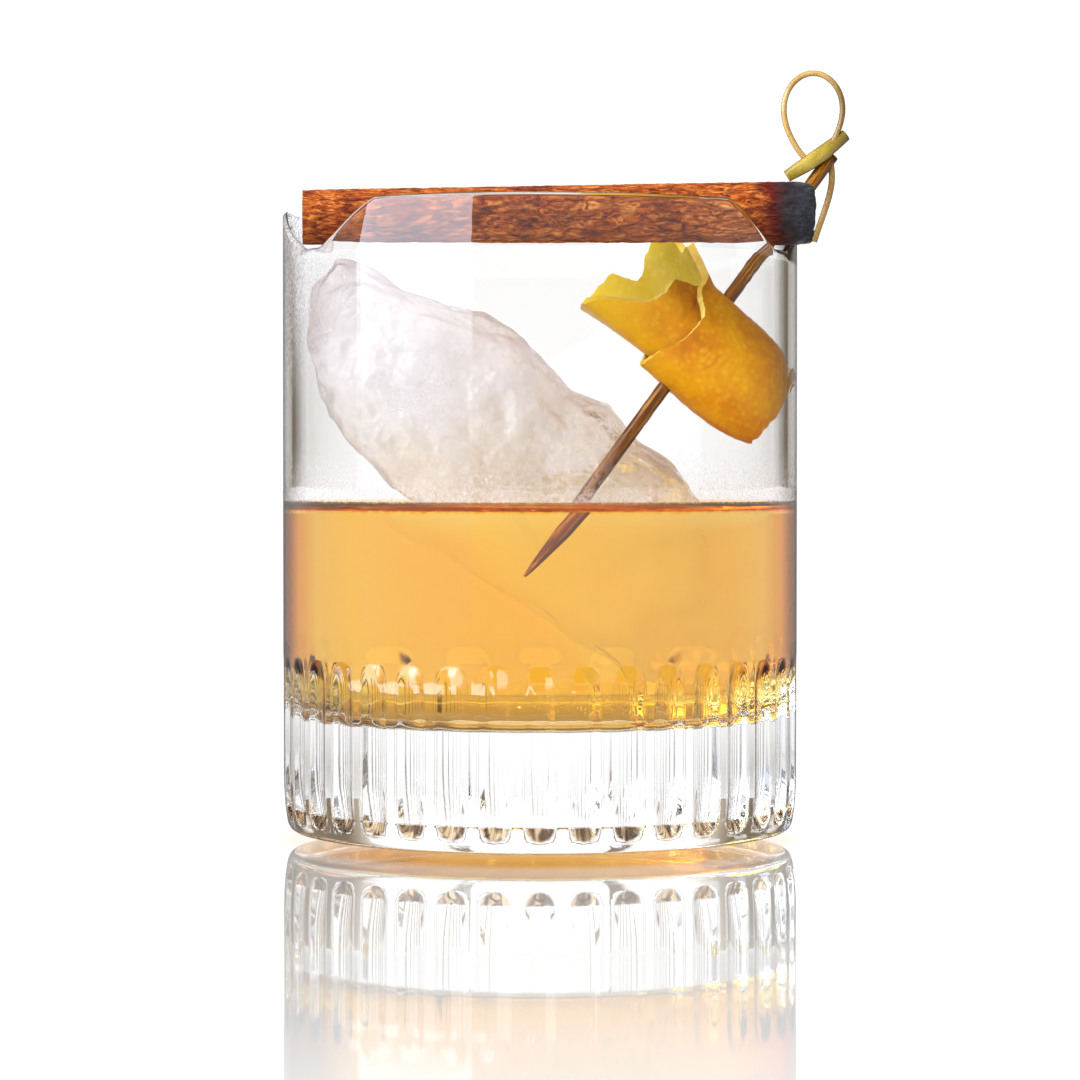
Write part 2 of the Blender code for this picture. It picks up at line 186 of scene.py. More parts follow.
def flute_depth(z, place):
    """Depth of a groove with a domed top and a steep half-moon at its foot."""
    half = 0.5 * FLUTE_WIDTH
    past_top = max(z - FLUTE_TOP + FLUTE_DOME, 0.0) / FLUTE_DOME
    past_bottom = max(FLUTE_BOTTOM + half - z, 0.0) / half
    room = 1.0 - place * place - past_top * past_top
    room = max(0.5 * (room + math.hypot(room, FLUTE_SOFTNESS)) - FLUTE_LAND, 0.0)
    if past_bottom > 0.0 and room > 0.0:
        room *= max(0.0, 1.0 - past_bottom / math.sqrt(room))
    low = min(max((FLUTE_SCOOP_TOP - z) / (FLUTE_SCOOP_TOP - FLUTE_BOTTOM), 0.0), 1.0)
    return room * (FLUTE_DEPTH + FLUTE_SCOOP * low)


def mark_scoop_shade_places(piece):
    """Writes how far a point is from the middle of a flute's foot that faces the dim room, where the glass
    gets painted brown shade.
    """
    marks = piece.data.attributes.new("scoop", "FLOAT_VECTOR", "POINT")
    pitch = 2.0 * math.pi / FLUTE_COUNT
    half = 0.5 * FLUTE_WIDTH
    for vert in piece.data.vertices:
        x, y, z = vert.co
        angle = math.atan2(x, -y)
        aside = abs(angle - pitch * round(angle / pitch)) * GLASS_RADIUS / half
        outside = y < 0.0 < z and math.hypot(x, y) > GLASS_RADIUS - WALL - FLUTE_SCOOP
        below = (FLUTE_BOTTOM + half - z) / half if outside else -1.0
        marks.data[vert.index].vector = (aside, below, 0.0)


def outer_radius(z):
    """The wall's outer radius at a height, without its flutes."""
    for (start, low), (end, high) in zip(FOOT_PROFILE, FOOT_PROFILE[1:]):
        if z <= high:
            return start + (end - start) * (z - low) / (high - low)
    return GLASS_RADIUS


def flute_columns():
    """The angle of each upright line of points, and its place across its flute."""
    pitch = 360.0 / FLUTE_COUNT
    half = math.degrees(0.5 * FLUTE_WIDTH / GLASS_RADIUS)
    return [
        (flute * pitch + place * half, min(place, 2.0 * (0.5 * pitch / half) - place))
        for flute in range(FLUTE_COUNT)
        for place in FLUTE_COLUMNS
    ]


def glass_rings():
    """Rings from the foot up the outside, over the rim and down the inside to the floor."""
    columns = flute_columns()
    end = 0.5 * FLUTE_WIDTH
    turns = [math.pi * i / FLUTE_END_STEPS for i in range(FLUTE_END_STEPS + 1)]
    steps = [0.5 - 0.5 * math.cos(turn) for turn in turns]
    crease = FLUTE_BOTTOM + end
    low = [FLUTE_BOTTOM + end * t for t in steps] + [crease + 0.05 * MM, crease + 0.3 * MM]
    high = [FLUTE_TOP - FLUTE_DOME * t for t in steps] + [FLUTE_TOP + 0.6 * MM]
    middle = [z for _, z in FOOT_PROFILE] + FLUTE_RING_HEIGHTS
    rings = []
    for z in sorted(low + high + middle):
        radius = outer_radius(z)
        rings.append([around(a, radius - flute_depth(z, place), z) for a, place in columns])
    for z in WALL_RING_HEIGHTS:
        rings.append([around(a, GLASS_RADIUS, z) for a, _ in columns])
    half_wall = 0.5 * WALL
    for step in range(RIM_STEPS + 1):
        turn = math.pi * step / RIM_STEPS
        radius = GLASS_RADIUS - half_wall + half_wall * math.cos(turn)
        height = GLASS_HEIGHT - half_wall + half_wall * math.sin(turn)
        rings.append([around(a, radius, height - rim_drop(a)) for a, _ in columns])
    inner = GLASS_RADIUS - WALL
    for z in reversed(WALL_RING_HEIGHTS):
        rings.append([around(a, inner, z) for a, _ in columns])
    for step in range(CORNER_STEPS + 1):
        turn = 0.5 * math.pi * step / CORNER_STEPS
        radius = inner - FLOOR_CORNER + FLOOR_CORNER * math.cos(turn)
        height = FLOOR_HEIGHT + FLOOR_CORNER - FLOOR_CORNER * math.sin(turn)
        rings.append([around(a, radius, height) for a, _ in columns])
    for radius in FLOOR_RING_RADII:
        rings.append([around(a, radius, FLOOR_HEIGHT) for a, _ in columns])
    return rings


def linear(code):
    """Turns an sRGB hex colour to the linear values that a shader takes."""
    values = []
    for i in (1, 3, 5):
        value = int(code[i : i + 2], 16) / 255.0
        values.append(value / 12.92 if value <= 0.04045 else ((value + 0.055) / 1.055) ** 2.4)
    return (*values, 1.0)


def new_material(name):
    material = bpy.data.materials.new(name)
    material.use_nodes = True
    material.node_tree.nodes.clear()
    return material, material.node_tree


def put(tree, kind, inputs=None, **settings):
    """Adds a node with its settings, its plain values and the links that feed it."""
    node = tree.nodes.new(kind)
    for name, value in settings.items():
        setattr(node, name, value)
    for name, value in (inputs or {}).items():
        socket = node.inputs[name]
        if isinstance(value, bpy.types.NodeSocket):
            tree.links.new(value, socket)
        else:
            socket.default_value = value
    return node


def set_ramp(node, stops):
    """Gives a colour ramp its stops, each a place and a colour."""
    elements = node.color_ramp.elements
    while len(elements) > 1:
        elements.remove(elements[-1])
    elements[0].position, elements[0].color = stops[0]
    for place, colour in stops[1:]:
        elements.new(place).color = colour
    return node


def see_through_shadow(tree, shader, tint):
    """Lets lamplight pass the piece, as it does through real clear glass."""
    path = put(tree, "ShaderNodeLightPath")
    ray = put(
        tree, "ShaderNodeMath", {0: path.outputs["Is Shadow Ray"], 1: path.outputs["Is Diffuse Ray"]},
        operation="MAXIMUM",
    )
    clear = put(tree, "ShaderNodeBsdfTransparent", {"Color": tint})
    return put(
        tree, "ShaderNodeMixShader", {0: ray.outputs[0], 1: shader, 2: clear.outputs[0]}
    )


def make_glass_material():
    """Soda-lime glass: colourless, with painted shade at grazing angles and painted brown shade in its
    scoops, misted inside.
    """
    material, tree = new_material("fire-polished soda-lime glass")
    place = put(tree, "ShaderNodeTexCoord")
    parts = put(tree, "ShaderNodeSeparateXYZ", {"Vector": place.outputs["Object"]})
    flat = put(
        tree, "ShaderNodeVectorMath", {0: place.outputs["Object"], 1: (1.0, 1.0, 0.0)}, operation="MULTIPLY"
    )
    reach = put(tree, "ShaderNodeVectorMath", {0: flat.outputs[0]}, operation="LENGTH")
    outer = put(
        tree, "ShaderNodeMath", {0: reach.outputs["Value"], 1: GLASS_RADIUS - OUTER_SKIN},
        operation="GREATER_THAN",
    )
    above = put(
        tree, "ShaderNodeMath", {0: parts.outputs["Z"], 1: FLOOR_HEIGHT + FLOOR_CORNER},
        operation="GREATER_THAN",
    )
    upright = put(tree, "ShaderNodeMath", {0: outer.outputs[0], 1: above.outputs[0]}, operation="MAXIMUM")
    # Painted shade: the glass's colour darkens at grazing angles on its upright walls, standing in for the
    # dim room that refraction shows there.
    facing = put(tree, "ShaderNodeLayerWeight", {"Blend": 0.5})
    grazing = put(
        tree, "ShaderNodeMath", {0: facing.outputs["Facing"], 1: upright.outputs[0]}, operation="MULTIPLY"
    )
    edge = set_ramp(
        put(tree, "ShaderNodeValToRGB", {"Fac": grazing.outputs[0]}),
        [
            (0.0, linear("#FFFFFF")),
            (0.66, linear("#FDFDFD")),
            (0.77, linear("#C6C4C2")),
            (1.0, linear("#504E4E")),
        ],
    )
    # Painted shade: a brown streaked tint in the scoops at the flutes' feet, standing in for the dim room
    # they refract; weaker where the glass mirrors more.
    streak_place = put(
        tree, "ShaderNodeMapping", {"Vector": place.outputs["Object"], "Scale": SCOOP_SHADE_STREAK_DENSITY}
    )
    scoop_shade_streak = put(
        tree, "ShaderNodeTexNoise", {"Vector": streak_place.outputs[0], "Scale": 1.0, "Detail": 0.0}
    )
    brown = set_ramp(
        put(tree, "ShaderNodeValToRGB", {"Fac": scoop_shade_streak.outputs["Fac"]}),
        [(0.36, linear("#66503A")), (0.50, linear("#A48664")), (0.64, linear("#E4CAA6"))],
    )
    scoop = put(tree, "ShaderNodeAttribute", attribute_name="scoop")
    from_middle = put(tree, "ShaderNodeVectorMath", {0: scoop.outputs["Vector"]}, operation="LENGTH")
    within = put(
        tree, "ShaderNodeMapRange",
        {"Value": from_middle.outputs["Value"], "From Min": 1.02, "From Max": 0.86},
    )
    scoop_parts = put(tree, "ShaderNodeSeparateXYZ", {"Vector": scoop.outputs["Vector"]})
    under = put(
        tree, "ShaderNodeMapRange",
        {"Value": scoop_parts.outputs["Y"], "From Min": 0.0, "From Max": 0.12},
    )
    scoop_shade_mask = put(tree, "ShaderNodeMath", {0: within.outputs[0], 1: under.outputs[0]}, operation="MULTIPLY")
    mirroring = put(tree, "ShaderNodeFresnel", {"IOR": GLASS_IOR})
    clear = put(tree, "ShaderNodeMath", {0: 1.0, 1: mirroring.outputs[0]}, operation="SUBTRACT")
    moon = put(tree, "ShaderNodeMath", {0: scoop_shade_mask.outputs[0], 1: clear.outputs[0]}, operation="MULTIPLY")
    tint = put(
        tree, "ShaderNodeMix",
        {"Factor": moon.outputs[0], "A": edge.outputs["Color"], "B": brown.outputs["Color"]},
        data_type="RGBA",
    )
    glass = put(
        tree, "ShaderNodeBsdfGlass",
        {"Color": tint.outputs["Result"], "Roughness": 0.0, "IOR": GLASS_IOR},
    )
    inside = put(
        tree, "ShaderNodeMath", {0: reach.outputs["Value"], 1: GLASS_RADIUS - 0.5 * WALL},
        operation="LESS_THAN",
    )
    over_drink = put(
        tree, "ShaderNodeMapRange",
        {"Value": parts.outputs["Z"], "From Min": MIST_FROM, "From Max": MIST_TO},
    )
    low = set_ramp(
        put(tree, "ShaderNodeValToRGB", {"Fac": over_drink.outputs[0]}),
        [
            (0.0, (0.0, 0.0, 0.0, 1.0)),
            (0.06, (0.55, 0.55, 0.55, 1.0)),
            (0.35, (0.26, 0.26, 0.26, 1.0)),
            (0.9, (0.0, 0.0, 0.0, 1.0)),
        ],
    )
    left = put(
        tree, "ShaderNodeMapRange",
        {
            "Value": parts.outputs["X"],
            "From Min": CORNER_MIST_FROM.x,
            "From Max": CORNER_MIST_TO.x,
            "To Max": 0.9,
        },
        interpolation_type="SMOOTHSTEP",
    )
    high = put(
        tree, "ShaderNodeMapRange",
        {"Value": parts.outputs["Z"], "From Min": CORNER_MIST_FROM.z, "From Max": CORNER_MIST_TO.z},
        interpolation_type="SMOOTHSTEP",
    )
    corner = put(
        tree, "ShaderNodeMath", {0: left.outputs[0], 1: high.outputs[0]}, operation="MULTIPLY"
    )
    misted = put(
        tree, "ShaderNodeMath", {0: low.outputs["Color"], 1: corner.outputs[0]}, operation="MAXIMUM"
    )
    grain = put(
        tree, "ShaderNodeTexNoise",
        {"Vector": place.outputs["Object"], "Scale": MIST_DENSITY, "Detail": 2.0, "Roughness": 0.75},
    )
    drops = put(
        tree, "ShaderNodeMapRange",
        {"Value": grain.outputs["Fac"], "From Min": 0.38, "From Max": 0.62, "To Min": 0.15, "To Max": 1.0},
    )
    mist = put(tree, "ShaderNodeMath", {0: misted.outputs[0], 1: drops.outputs[0]}, operation="MULTIPLY")
    mist_inside = put(
        tree, "ShaderNodeMath", {0: mist.outputs[0], 1: inside.outputs[0]}, operation="MULTIPLY"
    )
    lit = put(tree, "ShaderNodeBsdfDiffuse", {"Color": linear("#F2EEEE")})
    backlit = put(tree, "ShaderNodeBsdfTranslucent", {"Color": linear("#FFFFFF")})
    film = put(tree, "ShaderNodeMixShader", {0: 0.6, 1: lit.outputs[0], 2: backlit.outputs[0]})
    wall = put(
        tree, "ShaderNodeMixShader", {0: mist_inside.outputs[0], 1: glass.outputs[0], 2: film.outputs[0]}
    )
    seen = see_through_shadow(tree, wall.outputs[0], linear("#FDFDFD"))
    put(tree, "ShaderNodeOutputMaterial", {"Surface": seen.outputs[0]})
    return material


glass = grow_rings("tumbler", glass_rings())
mark_scoop_shade_places(glass)
glass.data.materials.append(make_glass_material())
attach(glass, "root")
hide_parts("glass")

# Ice: one big chunk, cloudy within and melted smooth outside, with chipped faces. It
# was cut by hand from a block. Under the drink its surface all but vanishes
DRINK_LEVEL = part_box("drink")[1].z
ICE_VOXEL = 0.6 * MM
ICE_LUMP = 1.7 * MM
ICE_LUMP_SIZE = 7.5 * MM
ICE_CHIP = 0.8 * MM
ICE_CHIP_SIZE = 3.6 * MM
ICE_FACET_SHARE = 0.03
ICE_MELT = 0.10 * MM
ICE_MELT_SIZE = 2.4 * MM
ICE_IOR = 1.31
ICE_CLOUD_DENSITY = 0.07 / MM
ICE_CRACK_DENSITY = 0.21 / MM
ICE_WARMTH_FROM = 74.0 * MM
ICE_WARMTH_TO = 52.0 * MM
ICE_HAZE_FROM = -8.0 * MM
ICE_HAZE_TO = 28.0 * MM


def copy_of_node(node, name):
    """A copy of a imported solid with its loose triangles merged."""
    deselect_all()
    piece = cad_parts[node].copy()
    piece.data = piece.data.copy()
    piece.parent = None
    for key in list(piece.keys()):
        del piece[key]
    piece.name = name
    piece.data.name = name
    piece.data.materials.clear()
    bpy.context.scene.collection.objects.link(piece)
    select_only(piece)
    bpy.ops.object.mode_set(mode="EDIT")
    bpy.ops.mesh.select_all(action="SELECT")
    bpy.ops.mesh.remove_doubles(threshold=0.01 * MM)
    bpy.ops.object.mode_set(mode="OBJECT")
    return piece


def apply_modifier(piece, kind, **settings):
    select_only(piece)
    modifier = piece.modifiers.new(kind.lower(), kind)
    for name, value in settings.items():
        setattr(modifier, name, value)
    bpy.ops.object.modifier_apply(modifier=modifier.name)


def swell(piece, distance_at):
    """Moves a surface outwards by the distance that its place gives."""
    normals = [vert.normal.copy() for vert in piece.data.vertices]
    for vert, normal in zip(piece.data.vertices, normals):
        vert.co += normal * distance_at(vert.co)
    piece.data.update()


def lumps(place):
    """Broad hollows and swellings, with small chips that go mostly inwards."""
    chip = noise.noise(place / ICE_CHIP_SIZE + Vector((7.0, 3.0, 1.0)))
    return ICE_LUMP * (noise.noise(place / ICE_LUMP_SIZE) - 0.12) + ICE_CHIP * min(chip, 0.1)


def melting(place):
    """The fine unevenness that water leaves on the facets."""
    return ICE_MELT * noise.noise(place / ICE_MELT_SIZE)


def make_ice_material():
    """Cloudy ice: glossy and partly clear above the drink, a pale veil below its level, painted shade at its
    grazing rims.
    """
    material, tree = new_material("cloudy block ice")
    place = put(tree, "ShaderNodeTexCoord")
    parts = put(tree, "ShaderNodeSeparateXYZ", {"Vector": place.outputs["Object"]})
    cloud = put(
        tree, "ShaderNodeTexNoise",
        {
            "Vector": place.outputs["Object"],
            "Scale": ICE_CLOUD_DENSITY,
            "Detail": 3.0,
            "Roughness": 0.56,
        },
    )
    cloud_amount = set_ramp(
        put(tree, "ShaderNodeValToRGB", {"Fac": cloud.outputs["Fac"]}),
        [(0.41, (0.20, 0.20, 0.20, 1.0)), (0.57, (0.84, 0.84, 0.84, 1.0))],
    )
    warmth = put(
        tree, "ShaderNodeMapRange",
        {"Value": parts.outputs["Z"], "From Min": ICE_WARMTH_FROM, "From Max": ICE_WARMTH_TO},
        interpolation_type="SMOOTHSTEP",
    )
    tint = put(
        tree, "ShaderNodeMix",
        {"Factor": warmth.outputs[0], "A": linear("#F0EEEE"), "B": linear("#E4DFCC")},
        data_type="RGBA",
    )
    # Painted shade: the ice's colour darkens towards its grazing rims.
    facing = put(tree, "ShaderNodeLayerWeight", {"Blend": 0.5})
    rim = set_ramp(
        put(tree, "ShaderNodeValToRGB", {"Fac": facing.outputs["Facing"]}),
        [(0.50, linear("#FFFFFF")), (0.82, linear("#DCD2D2")), (1.0, linear("#B4A8A8"))],
    )
    with_painted_edge_shade = put(
        tree, "ShaderNodeMix",
        {"Factor": 1.0, "A": tint.outputs["Result"], "B": rim.outputs["Color"]},
        data_type="RGBA", blend_type="MULTIPLY",
    )
    cracks = put(
        tree, "ShaderNodeTexVoronoi",
        {
            "Vector": place.outputs["Object"],
            "Scale": ICE_CRACK_DENSITY,
            "Detail": 2.0,
            "Roughness": 0.6,
        },
    )
    broad = put(
        tree, "ShaderNodeBump",
        {"Height": cloud.outputs["Fac"], "Strength": 0.42, "Distance": 3.0 * MM},
    )
    bump = put(
        tree, "ShaderNodeBump",
        {
            "Height": cracks.outputs["Distance"],
            "Strength": 0.36,
            "Distance": 1.2 * MM,
            "Normal": broad.outputs["Normal"],
        },
    )
    clear = put(
        tree, "ShaderNodeBsdfGlass",
        {"Color": linear("#FBF8FA"), "Roughness": 0.05, "IOR": ICE_IOR, "Normal": bump.outputs["Normal"]},
    )
    white = put(
        tree, "ShaderNodeBsdfPrincipled",
        {"Base Color": with_painted_edge_shade.outputs["Result"], "Roughness": 0.10, "Normal": bump.outputs["Normal"]},
    )
    glow = put(
        tree, "ShaderNodeBsdfTranslucent",
        {"Color": with_painted_edge_shade.outputs["Result"], "Normal": bump.outputs["Normal"]},
    )
    frost = put(tree, "ShaderNodeMixShader", {0: 0.62, 1: white.outputs[0], 2: glow.outputs[0]})
    above = put(
        tree, "ShaderNodeMixShader",
        {0: cloud_amount.outputs["Color"], 1: clear.outputs[0], 2: frost.outputs[0]},
    )
    across = put(
        tree, "ShaderNodeMapRange",
        {"Value": parts.outputs["X"], "From Min": ICE_HAZE_FROM, "From Max": ICE_HAZE_TO},
    )
    to_right = set_ramp(
        put(tree, "ShaderNodeValToRGB", {"Fac": across.outputs[0]}),
        [
            (0.0, (0.04, 0.04, 0.04, 1.0)),
            (0.5, (0.30, 0.30, 0.30, 1.0)),
            (0.8, (0.66, 0.66, 0.66, 1.0)),
            (0.98, (0.0, 0.0, 0.0, 1.0)),
        ],
    )
    haze = put(
        tree, "ShaderNodeMath", {0: to_right.outputs["Color"], 1: cloud.outputs["Fac"]}, operation="MULTIPLY"
    )
    through = put(tree, "ShaderNodeBsdfTransparent", {"Color": linear("#FFFFFF")})
    below = put(
        tree, "ShaderNodeMixShader", {0: haze.outputs[0], 1: through.outputs[0], 2: frost.outputs[0]}
    )
    over = put(
        tree, "ShaderNodeMath", {0: parts.outputs["Z"], 1: DRINK_LEVEL}, operation="GREATER_THAN"
    )
    whole = put(
        tree, "ShaderNodeMixShader", {0: over.outputs[0], 1: below.outputs[0], 2: above.outputs[0]}
    )
    seen = see_through_shadow(tree, whole.outputs[0], linear("#E9E4E5"))
    put(tree, "ShaderNodeOutputMaterial", {"Surface": seen.outputs[0]})
    return material


ice = copy_of_node("ice", "ice_chunk")
apply_modifier(ice, "REMESH", mode="VOXEL", voxel_size=ICE_VOXEL)
apply_modifier(ice, "SMOOTH", factor=0.5, iterations=4)
swell(ice, lumps)
apply_modifier(ice, "DECIMATE", ratio=ICE_FACET_SHARE)
apply_modifier(ice, "REMESH", mode="VOXEL", voxel_size=ICE_VOXEL)
apply_modifier(ice, "SMOOTH", factor=0.5, iterations=1)
swell(ice, melting)
select_only(ice)
bpy.ops.object.shade_smooth()
ice.data.materials.append(make_ice_material())
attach(ice, "root")
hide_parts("ice")

# Drink: aged mezcal and bitters, a clear amber liquid that creeps up the wall in a
# meniscus. It fills the glass just into the wall and leaves out the ice
DRINK_INTO_WALL = 0.1 * MM
MENISCUS_HEIGHT = 1.5 * MM
MENISCUS_WIDTH = 1.1 * MM
MENISCUS_STEPS = [d * MM for d in (0.15, 0.4, 0.7, 1.1, 1.6, 2.4, 3.6, 6.0, 12.0, 24.0)]
DRINK_SIDES = 228
DRINK_WALL_SHARES = (0.3, 0.6, 0.85)
DRINK_IOR = 1.34
DRINK_DENSITY = 50.0
DRINK_COLOUR = (0.992, 0.804, 0.010, 1.0)
MENISCUS_SHADE_HEIGHT = 2.2 * MM
MENISCUS_SHADE_UNEVENNESS = 1.1 * MM
MENISCUS_SHADE_DENSITY = 0.9 / MM
EDGE_SHADE_GAP = 0.4 * MM
ICE_CLEARANCE = 0.05 * MM
ICE_ROOM_WIDTH = 0.68
ICE_ROOM_DEPTH = 0.62
ICE_ROOM_NECK = 5.0 * MM


def drink_rings():
    """Rings from the floor up the wall, over the meniscus and in across the surface."""
    angles = [360.0 * i / DRINK_SIDES for i in range(DRINK_SIDES)]
    radius = GLASS_RADIUS - WALL + DRINK_INTO_WALL
    corner = FLOOR_CORNER + DRINK_INTO_WALL
    floor = FLOOR_HEIGHT - DRINK_INTO_WALL
    rings = [[around(a, r, floor) for a in angles] for r in reversed(FLOOR_RING_RADII)]
    for step in range(CORNER_STEPS, -1, -1):
        turn = 0.5 * math.pi * step / CORNER_STEPS
        place = radius - corner + corner * math.cos(turn)
        height = floor + corner - corner * math.sin(turn)
        rings.append([around(a, place, height) for a in angles])
    for share in DRINK_WALL_SHARES:
        height = floor + corner + (DRINK_LEVEL - floor - corner) * share
        rings.append([around(a, radius, height) for a in angles])
    rings.append([around(a, radius, DRINK_LEVEL + MENISCUS_HEIGHT) for a in angles])
    for inwards in MENISCUS_STEPS:
        height = DRINK_LEVEL + MENISCUS_HEIGHT * math.exp(-inwards / MENISCUS_WIDTH)
        rings.append([around(a, radius - inwards, height) for a in angles])
    return rings


def cut_for_ice(drink):
    """Leaves room for the ice, narrower below, and marks the faces that line it."""
    select_only(ice)
    bpy.ops.object.duplicate()
    room = bpy.context.object
    room.parent = None
    swell(room, lambda place: ICE_CLEARANCE)
    middle = sum((vert.co for vert in room.data.vertices), Vector()) / len(room.data.vertices)
    for vert in room.data.vertices:
        narrow = ease((DRINK_LEVEL - vert.co.z) / ICE_ROOM_NECK, 1.0)
        vert.co.x = middle.x + (vert.co.x - middle.x) * (1.0 + (ICE_ROOM_WIDTH - 1.0) * narrow)
        vert.co.y = middle.y + (vert.co.y - middle.y) * (1.0 + (ICE_ROOM_DEPTH - 1.0) * narrow)
    room.data.update()
    room_tree = BVHTree.FromPolygons(
        [vert.co for vert in room.data.vertices], [tuple(face.vertices) for face in room.data.polygons]
    )
    room.data.materials.clear()
    apply_modifier(drink, "BOOLEAN", operation="DIFFERENCE", solver="MANIFOLD", object=room)
    bpy.data.objects.remove(room)
    drink.data.materials.clear()
    lining = drink.data.attributes.new("ice_side", "FLOAT", "FACE")
    for face in drink.data.polygons:
        near = room_tree.find_nearest(face.center, ICE_CLEARANCE)[0]
        lining.data[face.index].value = 0.0 if near is None else 1.0


def make_drink_material():
    """Amber spirit: clear, its colour made by depth, with painted amber shade along its meniscus and its
    grazing sides. The ice's lining doesn't bend light.
    """
    material, tree = new_material("amber spirit")
    place = put(tree, "ShaderNodeTexCoord")
    parts = put(tree, "ShaderNodeSeparateXYZ", {"Vector": place.outputs["Object"]})
    # Painted shade: an amber band with an uneven upper edge tints the liquid along its meniscus, just above
    # the level.
    grain = put(
        tree, "ShaderNodeTexNoise",
        {"Vector": place.outputs["Object"], "Scale": MENISCUS_SHADE_DENSITY, "Detail": 2.0},
    )
    unevenness = put(
        tree, "ShaderNodeMath", {0: grain.outputs["Fac"], 1: MENISCUS_SHADE_UNEVENNESS, 2: parts.outputs["Z"]},
        operation="MULTIPLY_ADD",
    )
    meniscus_shade_place = put(
        tree, "ShaderNodeMapRange",
        {
            "Value": unevenness.outputs[0],
            "From Min": DRINK_LEVEL,
            "From Max": DRINK_LEVEL + MENISCUS_SHADE_HEIGHT,
        },
    )
    meniscus_shade_band = set_ramp(
        put(tree, "ShaderNodeValToRGB", {"Fac": meniscus_shade_place.outputs[0]}),
        [
            (0.14, linear("#FFFFFF")),
            (0.28, linear("#FFE9A0")),
            (0.42, linear("#E4A838")),
            (0.56, linear("#F6D080")),
            (0.82, linear("#FFF6DC")),
        ],
    )
    # Painted shade: darker amber on the liquid's upright sides at grazing angles.
    facing = put(tree, "ShaderNodeLayerWeight", {"Blend": 0.5})
    middle = 0.5 * (FLOOR_HEIGHT + FLOOR_CORNER + DRINK_LEVEL)
    upright = put(
        tree, "ShaderNodeMath",
        {0: parts.outputs["Z"], 1: middle, 2: DRINK_LEVEL - middle - EDGE_SHADE_GAP},
        operation="COMPARE",
    )
    grazing = put(
        tree, "ShaderNodeMath", {0: facing.outputs["Facing"], 1: upright.outputs[0]}, operation="MULTIPLY"
    )
    deep = set_ramp(
        put(tree, "ShaderNodeValToRGB", {"Fac": grazing.outputs[0]}),
        [(0.20, linear("#FFFFFF")), (0.235, linear("#F4CE76")), (0.275, linear("#D2941C"))],
    )
    colour = put(
        tree, "ShaderNodeMix",
        {"Factor": 1.0, "A": meniscus_shade_band.outputs["Color"], "B": deep.outputs["Color"]},
        data_type="RGBA", blend_type="MULTIPLY",
    )
    liquid = put(
        tree, "ShaderNodeBsdfGlass",
        {"Color": colour.outputs["Result"], "Roughness": 0.0, "IOR": DRINK_IOR},
    )
    through = put(tree, "ShaderNodeBsdfTransparent", {"Color": linear("#FFFFFF")})
    lining = put(tree, "ShaderNodeAttribute", attribute_name="ice_side")
    sides = put(
        tree, "ShaderNodeMixShader",
        {0: lining.outputs["Fac"], 1: liquid.outputs[0], 2: through.outputs[0]},
    )
    seen = see_through_shadow(tree, sides.outputs[0], linear("#FBE3B4"))
    depth = put(
        tree, "ShaderNodeVolumeAbsorption", {"Color": DRINK_COLOUR, "Density": DRINK_DENSITY}
    )
    put(
        tree, "ShaderNodeOutputMaterial", {"Surface": seen.outputs[0], "Volume": depth.outputs[0]}
    )
    return material


drink = grow_rings("amber_drink", drink_rings())
cut_for_ice(drink)
select_only(drink)
bpy.ops.object.shade_smooth_by_angle(angle=math.radians(50.0))
drink.data.materials.append(make_drink_material())
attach(drink, "root")
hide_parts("drink")

# Cinnamon stick: a quill of dried bark rolled into a scroll, sawn clean at the left
# and torched to a shiny black char at its right end
STICK_LEFT = Vector((-36.5, -20.2, 0.0)) * MM
STICK_RIGHT = Vector((42.0, -15.1, 0.0)) * MM
STICK_LEFT_RADIUS = 4.35 * MM
STICK_RIGHT_RADIUS = 5.15 * MM
STICK_LEFT_UNDERSIDE = 91.8 * MM
STICK_RIGHT_UNDERSIDE = 92.0 * MM
STICK_BARK = 1.1 * MM
STICK_TURNS = 1.45
STICK_SEAM_TURN = 0.19
STICK_ROLL = ((0.0, -2.2), (0.40, -1.25), (0.45, -1.18), (0.57, -0.15), (0.7, -0.05), (1.45, 0.0))
CHAR_LENGTH = 6.0 * MM
CHAR_ROUNDING = 0.8 * MM
STICK_AROUND = 150
STICK_ALONG = 280
BARK_GROOVE = 0.20 * MM
BARK_GROOVE_LENGTH = 3.4 * MM
BARK_GROOVE_WIDTH = 0.75 * MM
BARK_CRACKLE_SIZE = 1.3 * MM
BARK_FIBRE_DENSITY = tuple(per_mm / MM for per_mm in (0.42, 1.4, 1.4))
BARK_FISSURE_DENSITY = tuple(per_mm / MM for per_mm in (0.21, 0.7, 0.7))
BARK_MOTTLE_DENSITY = 0.13 / MM
SCORCH_FROM = 38.0 * MM
SCORCH_TO = 44.5 * MM
SCORCH_RAGGEDNESS = 9.0 * MM


def table_value(table, place):
    """Looks a value up between the places of a table, eased from row to row."""
    for (start, low), (end, high) in zip(table, table[1:]):
        if place <= end:
            return low + (high - low) * ease((place - start) / (end - start), 1.0)
    return table[-1][1]


def roll_sheet(name, across, along, place_point, thickness, materials):
    """Rolls a flat grid up and gives it its thickness: outer side, inner side and edges."""
    deselect_all()
    bpy.ops.mesh.primitive_grid_add(x_subdivisions=across, y_subdivisions=along, size=1.0)
    piece = bpy.context.object
    piece.name = name
    piece.data.name = name
    for vert in piece.data.vertices:
        vert.co = place_point(vert.co.x + 0.5, vert.co.y + 0.5)
    piece.data.update()
    for material in materials:
        piece.data.materials.append(material)
    bpy.ops.object.shade_smooth()
    apply_modifier(
        piece, "SOLIDIFY", thickness=thickness, offset=0.0, material_offset=1, material_offset_rim=2
    )
    select_only(piece)
    bpy.ops.object.mode_set(mode="EDIT")
    bpy.ops.mesh.select_all(action="SELECT")
    bpy.ops.mesh.normals_make_consistent(inside=False)
    bpy.ops.object.mode_set(mode="OBJECT")
    bpy.ops.object.shade_smooth_by_angle(angle=math.radians(55.0))
    return piece


